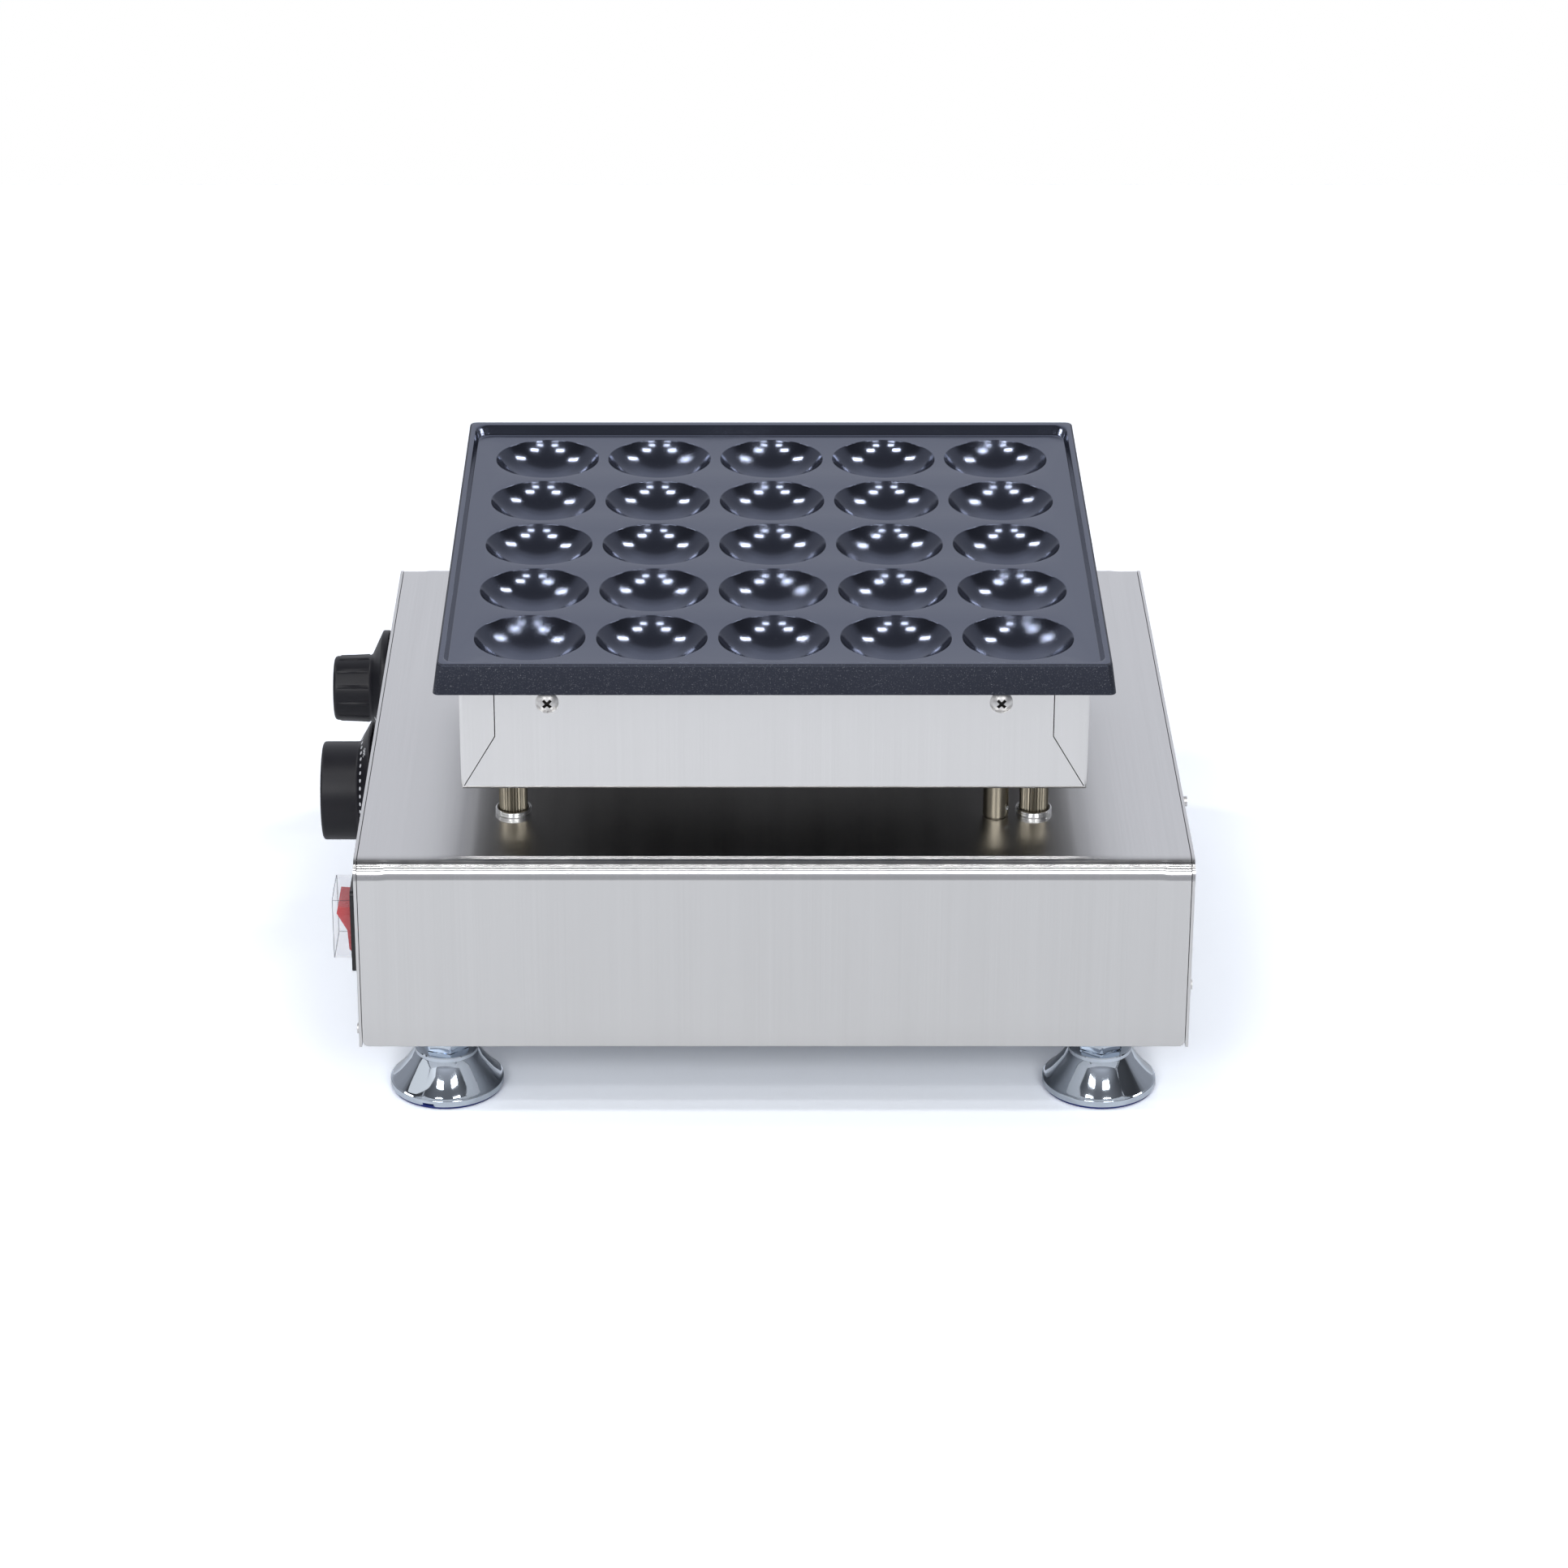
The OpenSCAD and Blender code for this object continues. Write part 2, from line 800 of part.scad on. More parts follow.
// Pad under the bell
module foot_pad(number) {
    color("#2f3c78")
    at_foot(number)
        rotate_extrude()
            polygon([[0, 0], [22.4, 0], [22.8, 0.4], [22.8, 1.2], [20.3, 1.2], [9.9, 8.4], [0, 8.4]]);
}

// Rod with a flat along one side, as control shafts have
module flatted_rod(length, radius) {
    difference() {
        cylinder(h = length, r = radius);
        translate([-radius, shaft_flat, -1]) cube([2 * radius, radius, length + 2]);
    }
}

// Body behind the panel with its threaded bush; the shaft turns in the bush
module control_body(size, deep) {
    difference() {
        union() {
            translate([-size.x / 2, -size.y / 2, -sheet - deep]) cube([size.x, size.y, deep]);
            translate([0, 0, -sheet - 1]) cylinder(h = sheet + 1 + bush_out, r = bush_r);
        }
        translate([0, 0, -sheet - 9]) cylinder(h = 30, r = shaft_r + shaft_play);
    }
}

module control_shaft(out) {
    translate([0, 0, -sheet - 8]) cylinder(h = sheet + 8 + bush_out + 0.5, r = shaft_r);
    translate([0, 0, bush_out + 0.5]) flatted_rod(out - bush_out - 6, shaft_r);
}

module thermostat_body() {
    color("#d9d4c5")
    placed()
    out_left(thermostat_y, knob_z) control_body([32, 44], 20);
}

module thermostat_shaft() {
    color("#c8b98a")
    placed()
    out_left(thermostat_y, knob_z) rotate([0, 0, -thermostat_turn]) control_shaft(thermostat_out);
}

// Round grip with a domed face on a dished dial skirt, hollow behind for the nut
module thermostat_knob() {
    grip_r = 20.8;
    skirt_r = 29.5;
    dome = 0.8;
    face = thermostat_out - dome;
    color("#26272b")
    placed()
    out_left(thermostat_y, knob_z)
        rotate([0, 0, -thermostat_turn])
            difference() {
                rotate_extrude()
                    polygon(concat([[0, knob_gap], [skirt_r, knob_gap], [skirt_r, knob_gap + 0.9],
                                    [22.3, 6.7], [grip_r, 7.6], [grip_r, face - 1.2]],
                                   [for (a = [30:30:90])
                                       [grip_r - 1.2 * (1 - cos(a)), face - 1.2 + 1.2 * sin(a)]],
                                   [for (r = [13, 6.5, 0])
                                       [r, face + dome * (1 - pow(r / grip_r, 2))]]));
                knob_socket(thermostat_out);
            }
}

// Room for the bush and its nut, and the flatted hole for the shaft
module knob_socket(out) {
    translate([0, 0, -1]) cylinder(h = bush_out + 1.5, r = 10);
    translate([0, 0, bush_out + 0.4]) flatted_rod(out - bush_out - 5.9, shaft_r);
}

module timer_body() {
    color("#e4e2da")
    placed()
    out_left(timer_y, knob_z) control_body([32, 46], 32);
}

module timer_shaft() {
    color("#c8b98a")
    placed()
    out_left(timer_y, knob_z) rotate([0, 0, -timer_turn]) control_shaft(timer_out);
}

// Grooved grip on a conical skirt
module timer_knob() {
    grip_r = 14.5;
    skirt_r = 25.6;
    color("#26272b")
    placed()
    out_left(timer_y, knob_z)
        rotate([0, 0, -timer_turn])
            difference() {
                rotate_extrude()
                    polygon(concat([[0, knob_gap], [skirt_r, knob_gap], [skirt_r, 4], [skirt_r - 0.6, 4.5],
                                    [16.2, 8.2], [grip_r + 0.2, 9.4], [grip_r, timer_out - 2.5]],
                                   [for (a = [18:18:90])
                                       [grip_r - 2.5 * (1 - cos(a)), timer_out - 2.5 + 2.5 * sin(a)]],
                                   [[0, timer_out]]));
                for (i = [0:11])
                    rotate([0, 0, 15 + i * 30])
                        translate([grip_r, 0, 16.2])
                            rotate([0, 0, 45]) cube([0.9, 0.9, 12.4], center = true);
                knob_socket(timer_out);
            }
}

// Flat nuts that hold the thermostat and the timer to the panel
module control_nuts() {
    color("#b9bcc0")
    placed()
    for (y = [thermostat_y, timer_y])
        out_left(y, knob_z)
            difference() {
                hex(14, nut_t);
                translate([0, 0, -1]) cylinder(h = nut_t + 2, r = bush_r);
            }
}

// Capillary from the thermostat through the conduit to the bulb under the pan
module capillary() {
    thin = 0.9;
    low = z_base + 14;
    color("#b87333")
    placed()
    bent_rod([
        [-end_x + sheet + 20, thermostat_y + 12, knob_z - 12],
        [-end_x + 30, thermostat_y + 12, knob_z - 12],
        [-end_x + 30, thermostat_y + 12, low],
        [-end_x + 30, conduit_y, low],
        [conduit_x, conduit_y, low],
        [conduit_x, conduit_y, blanket_top + 3],
        [bulb_x, conduit_y, blanket_top + 3],
        [bulb_x, conduit_y, z_bulb],
        [bulb_x, pan_y + bulb_y - bulb_l, z_bulb]
    ], thin, 2);
}

// Liquid-filled bulb in the outer margin of a valley
module bulb() {
    color("#c98a4b")
    on_pan()
    translate([bulb_x, bulb_y, z_bulb])
        rotate([90, 0, 0]) cylinder(h = bulb_l, r = bulb_r);
}

// Ring round the bulb, with a tongue up to the pan
module bulb_clip() {
    clip_r = 3.8;
    tongue_w = 3.4;
    color("#b9bcc0")
    on_pan()
    translate([bulb_x, bulb_y - bulb_l / 2, z_bulb])
        rotate([90, 0, 0])
            linear_extrude(8, center = true)
                difference() {
                    union() {
                        circle(clip_r);
                        translate([-tongue_w / 2, 0]) square([tongue_w, z_under - z_bulb]);
                    }
                    circle(bulb_r);
                }
}

// Black frame of the switch, lying on the panel
module switch_bezel() {
    color("#1d1e21")
    placed()
    out_left(switch_y, switch_z)
        difference() {
            linear_extrude(bezel_t) round_rect(bezel_z, bezel_y, 2);
            translate([0, 0, bezel_t / 2]) cube([window_z, window_y, bezel_t + 2], center = true);
        }
}

// Open box of the switch behind the panel, with its blades; the rocker's pins turn in its sides
module switch_body() {
    color("#1d1e21")
    placed()
    out_left(switch_y, switch_z) {
        difference() {
            translate([0, 0, -switch_deep / 2]) cube([body_z, body_y, switch_deep], center = true);
            translate([0, 0, -4.5]) cube([window_z, window_y, 10], center = true);
            translate([0, 0, -pivot_deep]) rotate([90, 0, 0]) cylinder(h = 30, r = 1.55, center = true);
        }
        for (x = [-8, 8], y = [-6, 6])
            translate([x, y, -switch_deep - 4]) cube([0.8, 5, 8], center = true);
    }
}

// Rocker with two raised ends, resting with its upper end out
module rocker() {
    color("#d0313c")
    placed()
    out_left(switch_y, switch_z)
        translate([0, 0, -pivot_deep])
            rotate([0, -rocker_tilt, 0]) {
                rotate([90, 0, 0])
                    linear_extrude(rocker_y, center = true)
                        polygon([[-8, -3], [-9, 1], [-11.2, 6.9], [-8.4, 8.4], [0, 6.6],
                                 [8.4, 8.4], [11.2, 6.9], [9, 1], [8, -3]]);
                rotate([90, 0, 0]) cylinder(h = 22, r = 1.5, center = true);
            }
}

// Clear box that keeps splashes off the switch
module switch_cover() {
    cover_z = 26.8;
    cover_y = 24.2;
    tall = 7.4;
    wall = 0.8;
    color([0.9, 0.92, 0.96, 0.35])
    placed()
    out_left(switch_y, switch_z)
        translate([0, 0, bezel_t])
            difference() {
                linear_extrude(tall) round_rect(cover_z, cover_y, 2);
                translate([0, 0, -1])
                    linear_extrude(tall) round_rect(cover_z - 2 * wall, cover_y - 2 * wall, 1);
            }
}

// Pilot lamp: domed lens in front of the panel, barrel behind it
module pilot_lamp(z) {
    placed()
    out_left(lamp_y, z) {
        cylinder(h = 1.2, r = 5.5);
        translate([0, 0, 1.2])
            intersection() {
                translate([0, 0, -4.5]) sphere(6.4);
                cylinder(h = 4, r = 4.5);
            }
        translate([0, 0, -22]) cylinder(h = 22, r = 4);
    }
}

module power_lamp() {
    color("#3fae5a") pilot_lamp(lamp_z[1]);
}

module heat_lamp() {
    color("#d9822b") pilot_lamp(lamp_z[0]);
}

// Four-way connector block on the base plate
module terminal_block() {
    tall = 20;
    color("#ece8dc")
    placed()
    translate([block_x, block_y, z_insert])
        difference() {
            linear_extrude(tall) round_rect(block_w, 48, 2);
            for (i = [-1.5:1.5])
                translate([0, i * block_step, block_port]) {
                    rotate([0, 90, 0]) cylinder(h = 30, r = 2.5, center = true);
                    cylinder(h = tall, r = 2.4);
                }
        }
}

module earth_screw() {
    color("#c8b98a")
    placed()
    translate([50, 110, z_insert]) {
        cylinder(h = 14, r = m5_r);
        hex(8, 4);
    }
}

// Bundle of wires from the connector block to the switch
module wire_loom() {
    low = z_insert + 4;
    port = [block_x - block_w / 2, block_y + 1.5 * block_step, z_insert + block_port];
    down_x = port.x - 11;
    back_y = 138;
    left_x = -112;
    switch_back = -end_x + switch_deep;
    color("#7c2f2a")
    placed()
    bent_rod([
        port, [down_x, port.y, port.z], [down_x, port.y, low],
        [down_x, back_y, low], [left_x, back_y, low], [left_x, switch_y, low],
        [left_x, switch_y, 72], [switch_back, switch_y, 72]
    ], 3, 4, $fn = 32);
}

module at_gland() {
    placed() translate([gland_x, side_y, gland_z]) rotate([-90, 0, 0]) children();
}

// Gland: hexagon against the back, thread through the wall
module gland_body() {
    color("#2a2b2e")
    at_gland()
        difference() {
            union() {
                hex(20, 5);
                translate([0, 0, -9]) cylinder(h = 19, r = gland_r);
            }
            translate([0, 0, -10]) cylinder(h = 13, r = 5);
            translate([0, 0, 2]) cylinder(h = 10, r = 6.5);
        }
}

module gland_seal() {
    color("#3a3b3f")
    at_gland()
        translate([0, 0, 2])
            difference() {
                cylinder(h = 13, r = 6.5);
                translate([0, 0, -1]) cylinder(h = 15, r = cable_r);
            }
}

// Dome nut that squeezes the seal
module gland_cap() {
    color("#2a2b2e")
    at_gland()
        translate([0, 0, 5.4])
            difference() {
                union() {
                    hex(19.5, 7);
                    rotate_extrude()
                        polygon([[0, 0], [9.7, 0], [9.7, 8.5], [9.2, 10.6], [7.6, 12.6],
                                 [5.8, gland_out - 5.4], [0, gland_out - 5.4]]);
                }
                translate([0, 0, -1]) cylinder(h = 5.6, r = gland_r + 0.05);
                translate([0, 0, -1]) cylinder(h = 10.6, r = 6.5);
                cylinder(h = 20, r = 4.7);
            }
}

module gland_locknut() {
    color("#2a2b2e")
    at_gland()
        translate([0, 0, -sheet - 4])
            difference() {
                hex(22, 4);
                translate([0, 0, -1]) cylinder(h = 6, r = gland_r);
            }
}

pan();
heating_element();
element_terminals();
element_clamps();
clamp_screws();
tray();
insulation();
tray_screws();
posts();
post_eyelets();
post_bolts();
post_nuts();
conduit();
conduit_nuts();
set_screw();
housing_cover();
control_panel();
right_panel();
base_plate();
panel_screws();
base_screws();
foot_inserts();
foot_bell(1);  // foot_bell_1
foot_bell(2);  // foot_bell_2
foot_bell(3);  // foot_bell_3
foot_bell(4);  // foot_bell_4
foot_stud(1);  // foot_stud_1
foot_stud(2);  // foot_stud_2
foot_stud(3);  // foot_stud_3
foot_stud(4);  // foot_stud_4
foot_pad(1);  // foot_pad_1
foot_pad(2);  // foot_pad_2
foot_pad(3);  // foot_pad_3
foot_pad(4);  // foot_pad_4
thermostat_body();
thermostat_shaft();
thermostat_knob();
capillary();
bulb();
bulb_clip();
timer_body();
timer_shaft();
timer_knob();
control_nuts();
switch_body();
switch_bezel();
rocker();
switch_cover();
power_lamp();
heat_lamp();
terminal_block();
earth_screw();
wire_loom();
gland_body();
gland_seal();
gland_cap();
gland_locknut();
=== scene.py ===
"""Looks of the mini pancake maker: finer pieces round the CAD frame, materials, studio and camera."""

import math

import bmesh
import bpy
from mathutils import Euler, Matrix, Vector


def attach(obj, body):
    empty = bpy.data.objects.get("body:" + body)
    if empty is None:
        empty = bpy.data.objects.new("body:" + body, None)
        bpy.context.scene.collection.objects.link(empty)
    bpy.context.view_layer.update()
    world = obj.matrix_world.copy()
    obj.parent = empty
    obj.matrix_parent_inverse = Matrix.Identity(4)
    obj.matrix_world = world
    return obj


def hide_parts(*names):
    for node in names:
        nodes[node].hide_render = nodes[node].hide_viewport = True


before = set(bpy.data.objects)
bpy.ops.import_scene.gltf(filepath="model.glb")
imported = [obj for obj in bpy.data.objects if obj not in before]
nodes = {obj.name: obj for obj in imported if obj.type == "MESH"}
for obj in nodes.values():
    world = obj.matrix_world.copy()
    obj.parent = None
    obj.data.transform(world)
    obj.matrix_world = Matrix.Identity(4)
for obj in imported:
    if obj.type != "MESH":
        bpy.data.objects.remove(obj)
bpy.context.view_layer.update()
ROOT = "appliance"

# Places and sizes that the CAD source has too, in millimetres and degrees

MID_X, MID_Y = 11.75, -9.5
PAN_Y = MID_Y + 2
END_X, SIDE_Y, SHEET = 167.5, 153.5, 1.2
Z_BASE, Z_TOP, Z_TRAY = 34.5, 117.0, 135.5
Z_SKIRT, Z_UNDER, Z_PLATE, Z_RIM = 181.1, 185.0, 190.0, 193.6
PAN_HALF, PITCH = 133.5, 49.0
BOWL_R, BOWL_DEPTH = 22.5, 12.0
TRAY_HALF, LUG_X, LUG_Z = 125.5, 90.3, 173.8
FEET = [(-134.5, -120.5), (134.5, -120.5), (-134.5, 120.5), (134.5, 120.5)]
NOTCHES = [253, 60, 120, 75]
LIP_TOP = 18.3
THERMOSTAT_Y, TIMER_Y, KNOB_Z = -27, 79, 89.4


# Materials: noise scales are in cells per metre, relief is in metres

def material(name, **values):
    """A Principled material; each value is set on the socket of that name."""
    mat = bpy.data.materials.new(name)
    mat.use_nodes = True
    shader = mat.node_tree.nodes["Principled BSDF"]
    for key, value in values.items():
        shader.inputs[key.replace("_", " ")].default_value = value
    return mat, mat.node_tree, shader


def add(tree, kind, inputs=(), **settings):
    """A node with its settings; an input is a value, or a socket to link from."""
    made = tree.nodes.new("ShaderNode" + kind)
    for key, value in settings.items():
        setattr(made, key, value)
    for key, value in dict(inputs).items():
        if isinstance(value, bpy.types.NodeSocket):
            tree.links.new(value, made.inputs[key])
        else:
            made.inputs[key].default_value = value
    return made


def maths(tree, operation, first, second=0.0):
    """One step of arithmetic on one or two values or sockets."""
    return add(tree, "Math", {0: first, 1: second}, operation=operation).outputs[0]


def grain(tree, source, stretch, **inputs):
    """Noise in one of the texture coordinates, stretched by a factor along each axis."""
    place = add(tree, "TexCoord").outputs[source]
    mapped = add(tree, "Mapping", {"Vector": place, "Scale": stretch})
    return add(tree, "TexNoise", {"Vector": mapped.outputs[0], **inputs}).outputs[0]


def spread(tree, value, low, high, start=0.3, end=0.7):
    """A value from start to end turned into one from low to high."""
    limits = {"From Min": start, "From Max": end, "To Min": low, "To Max": high}
    return add(tree, "MapRange", {"Value": value, **limits}).outputs[0]


def tint(tree, value, dark, light):
    """A colour between two, by a value from 0 to 1."""
    ramp = add(tree, "ValToRGB", {"Fac": value})
    ramp.color_ramp.elements[0].color = (*dark, 1)
    ramp.color_ramp.elements[1].color = (*light, 1)
    return ramp.outputs[0]


def bump(tree, shader, height, strength, distance, before=None):
    """Relief on the shader's normal, on top of an earlier one where that is given."""
    inputs = {"Height": height, "Strength": strength, "Distance": distance}
    if before is not None:
        inputs["Normal"] = before
    made = add(tree, "Bump", inputs).outputs[0]
    tree.links.new(made, shader.inputs["Normal"])
    return made


def brushed(name, light, dark, rough):
    """Brushed sheet: fine lines along the second UV direction."""
    mat, tree, shader = material(name, Metallic=1.0, Anisotropic=0.9)
    fine = grain(tree, "UV", (1800, 3, 1), Scale=1.0, Detail=3.0, Roughness=0.7)
    wide = grain(tree, "UV", (160, 4, 1), Scale=1.0, Detail=3.0, Roughness=0.6)
    cloud = grain(tree, "UV", (14, 9, 1), Scale=1.0, Detail=2.0)
    both = spread(tree, maths(tree, "ADD", fine, wide), 0, 1, 0.75, 1.25)
    along = add(tree, "Tangent", direction_type="UV_MAP").outputs[0]
    tree.links.new(tint(tree, both, dark, light), shader.inputs["Base Color"])
    tree.links.new(spread(tree, wide, rough - 0.02, rough + 0.03), shader.inputs["Roughness"])
    tree.links.new(along, shader.inputs["Tangent"])
    first = bump(tree, shader, fine, 0.03, 0.00001)
    bump(tree, shader, cloud, 0.04, 0.0006, first)
    return mat


def plated(name, colour, rough, wear=0.05, grain_size=900):
    """Smooth plated metal with faint marks."""
    mat, tree, shader = material(name, Metallic=1.0, Base_Color=(*colour, 1))
    fine = grain(tree, "Object", (1, 1, 1), Scale=grain_size, Detail=3.0)
    cloud = grain(tree, "Object", (1, 1, 1), Scale=60.0, Detail=4.0)
    tree.links.new(spread(tree, cloud, rough, rough + wear), shader.inputs["Roughness"])
    bump(tree, shader, fine, 0.05, 0.00003)
    return mat


def moulded(name, colour, rough, grain_size=1500, depth=0.00003, **values):
    """Moulded or sprayed surface with a fine grain."""
    mat, tree, shader = material(name, **values)
    fine = grain(tree, "Object", (1, 1, 1), Scale=grain_size, Detail=2.0)
    cloud = grain(tree, "Object", (1, 1, 1), Scale=70.0, Detail=4.0)
    dark = tuple(0.86 * c for c in colour)
    tree.links.new(tint(tree, spread(tree, cloud, 0, 1), dark, colour), shader.inputs["Base Color"])
    tree.links.new(spread(tree, cloud, rough, rough + 0.1), shader.inputs["Roughness"])
    bump(tree, shader, fine, 0.35, depth)
    return mat


def coating(name, ior, rough, grain_size, depth, base, fleck, sparse=0.66):
    """Non-stick coating on cast metal: fine flecks and an uneven film, grainy in places.

    A higher value of sparse, from 0 to 1, leaves fewer flecks.
    """
    mat, tree, shader = material(name, IOR=ior, Specular_Tint=(0.66, 0.74, 1, 1))
    fine = grain(tree, "Object", (1, 1, 1), Scale=grain_size, Detail=2.0, Roughness=0.6)
    flecks = grain(tree, "Object", (1, 1, 1), Scale=2100.0, Detail=2.0, Roughness=0.8)
    lines = grain(tree, "Object", (22, 700, 22), Scale=1.0, Detail=3.0)
    cloud = grain(tree, "Object", (1, 1, 1), Scale=30.0, Detail=3.0)
    speckle = spread(tree, flecks, 0, 1, sparse, sparse + 0.1)
    rugged = maths(tree, "MULTIPLY", fine, spread(tree, cloud, 0.1, 1.0, 0.5, 0.66))
    tree.links.new(tint(tree, speckle, base, fleck), shader.inputs["Base Color"])
    tree.links.new(spread(tree, cloud, rough - 0.02, rough + 0.03), shader.inputs["Roughness"])
    first = bump(tree, shader, rugged, 0.6, depth)
    bump(tree, shader, lines, 0.1, 0.00006, first)
    return mat


def clear_plastic(name, obj):
    """Clear sleeve, hazy on its walls; along the edges of its box it is denser and painted near-black, as
    painted shade.
    """
    mat, tree, shader = material(name, Roughness=0.1, IOR=1.46)
    corners = [v.co for v in obj.data.vertices]
    place = add(tree, "SeparateXYZ", {0: add(tree, "TexCoord").outputs["Object"]})
    # An edge is where two sides of the box meet within these reaches, in millimetres
    reaches = (0.35, 0.7, 0.7)
    sides = []
    for axis, reach in enumerate(reaches):
        low, high = min(c[axis] for c in corners), max(c[axis] for c in corners)
        away = maths(tree, "ABSOLUTE", maths(tree, "SUBTRACT", place.outputs[axis], (low + high) / 2))
        sides.append(maths(tree, "GREATER_THAN", away, (high - low) / 2 - reach / 1000))
    count = maths(tree, "ADD", maths(tree, "ADD", sides[0], sides[1]), sides[2])
    edge = maths(tree, "GREATER_THAN", count, 1.5)
    haze = spread(tree, grain(tree, "Object", (1, 1, 1), Scale=90.0, Detail=3.0), 0.05, 0.1)
    tree.links.new(spread(tree, edge, haze, 0.6, 0, 1), shader.inputs["Alpha"])
    # Painted shade: the edges of the box get a near-black colour, the walls a pale tint
    tree.links.new(tint(tree, edge, (0.72, 0.73, 0.8), (0.07, 0.07, 0.09)), shader.inputs["Base Color"])
    return mat


steel = brushed("brushed_steel", light=(0.81, 0.806, 0.803), dark=(0.77, 0.766, 0.763), rough=0.2)
tray_steel = brushed("brushed_steel_tray", light=(0.92, 0.914, 0.91), dark=(0.87, 0.864, 0.86), rough=0.2)
# A darker copy of the brushed steel: painted shade for the tray's underside and its rounded edges
tray_painted_shade = brushed("brushed_steel_painted_shade", light=(0.42, 0.415, 0.41), dark=(0.36, 0.355, 0.35), rough=0.3)
plain_steel = plated("plain_steel", (0.62, 0.63, 0.65), rough=0.28, wear=0.12)
screw_steel = plated("screw_steel", (0.82, 0.81, 0.8), rough=0.34, wear=0.08)
# Near-black plated steel: painted shade for the screws' cross recesses
recess_shade = plated("screw_recess_painted_shade", (0.06, 0.058, 0.055), rough=0.5, wear=0.1)
nickel = plated("nickel", (0.26, 0.235, 0.185), rough=0.32, wear=0.08)
wire = plated("eyelet_wire", (0.93, 0.93, 0.92), rough=0.14, wear=0.06)
chrome = plated("chrome", (0.78, 0.86, 0.96), rough=0.04, wear=0.04, grain_size=120)
copper = plated("copper", (0.75, 0.42, 0.27), rough=0.28, wear=0.15)
brass = plated("brass", (0.74, 0.6, 0.33), rough=0.22, wear=0.12)
sheath = moulded("heater_sheath", (0.34, 0.32, 0.3), rough=0.4, Metallic=0.8)
ceramic = moulded("ceramic", (0.9, 0.88, 0.82), rough=0.2, Coat_Weight=0.3)
blanket = moulded("blanket", (0.82, 0.8, 0.74), rough=0.9, grain_size=700, depth=0.0004)
black_satin = moulded("black_phenolic", (0.012, 0.012, 0.017), rough=0.36, IOR=1.42)
black_gloss = moulded("black_gloss", (0.02, 0.02, 0.022), rough=0.18)
red_plastic = moulded("red_rocker", (0.8, 0.025, 0.025), rough=0.22, grain_size=900, depth=0.00002,
                      Coat_Weight=0.2)
green_lens = moulded("green_lens", (0.05, 0.4, 0.12), rough=0.12, grain_size=900, depth=0.00001,
                     Coat_Weight=0.5)
amber_lens = moulded("amber_lens", (0.75, 0.28, 0.03), rough=0.12, grain_size=900, depth=0.00001,
                     Coat_Weight=0.5)
cream = moulded("cream_plastic", (0.78, 0.74, 0.64), rough=0.42)
red_sleeve = moulded("red_sleeve", (0.4, 0.06, 0.05), rough=0.6, grain_size=900, depth=0.0001)
blue_pad = moulded("blue_pad", (0.01, 0.025, 0.2), rough=0.45)
rubber = moulded("black_rubber", (0.025, 0.025, 0.026), rough=0.6)
white_ink = moulded("white_ink", (0.82, 0.84, 0.88), rough=0.5)
pan_coat = coating("pan_coating", ior=2.56, rough=0.13, grain_size=1700, depth=0.0001,
                   base=(0.01, 0.011, 0.016), fleck=(0.07, 0.075, 0.09))
wall_coat = coating("pan_wall_coating", ior=1.6, rough=0.42, grain_size=1100, depth=0.00016,
                    base=(0.015, 0.016, 0.022), fleck=(0.17, 0.175, 0.19), sparse=0.6)
clear = clear_plastic("clear_cover", nodes["switch_cover"])


# Mesh building

def box_uv(mesh):
    """Flat UVs in metres: the first runs across the brush lines."""
    layer = mesh.uv_layers.new(name="sheet")
    for face in mesh.polygons:
        n = face.normal
        for loop in face.loop_indices:
            x, y, z = mesh.vertices[mesh.loops[loop].vertex_index].co
            if abs(n.x) > max(abs(n.y), abs(n.z)):
                layer.data[loop].uv = (y, z)
            elif abs(n.y) > abs(n.z):
                layer.data[loop].uv = (x, z)
            else:
                layer.data[loop].uv = (x, y)


def soften(obj, width):
    """Rounded edges wherever two faces meet at more than an angle."""
    edge = obj.modifiers.new("edges", "BEVEL")
    edge.width = width / 1000
    edge.segments = 2
    edge.limit_method = "ANGLE"
    edge.angle_limit = math.radians(30)
    edge.harden_normals = True


def shade(mesh, angle=32):
    """Smooth shading, with sharp edges from an angle on."""
    mesh.polygons.foreach_set("use_smooth", [True] * len(mesh.polygons))
    mesh.set_sharp_from_angle(angle=math.radians(angle))


def dress(name, mat, edge=0.0, uv=False, angle=32):
    """Gives a CAD node its material and, where asked, rounded edges."""
    obj = nodes[name]
    obj.data.materials.clear()
    obj.data.materials.append(mat)
    shade(obj.data, angle)
    if uv:
        box_uv(obj.data)
    if edge:
        soften(obj, edge)
    return obj


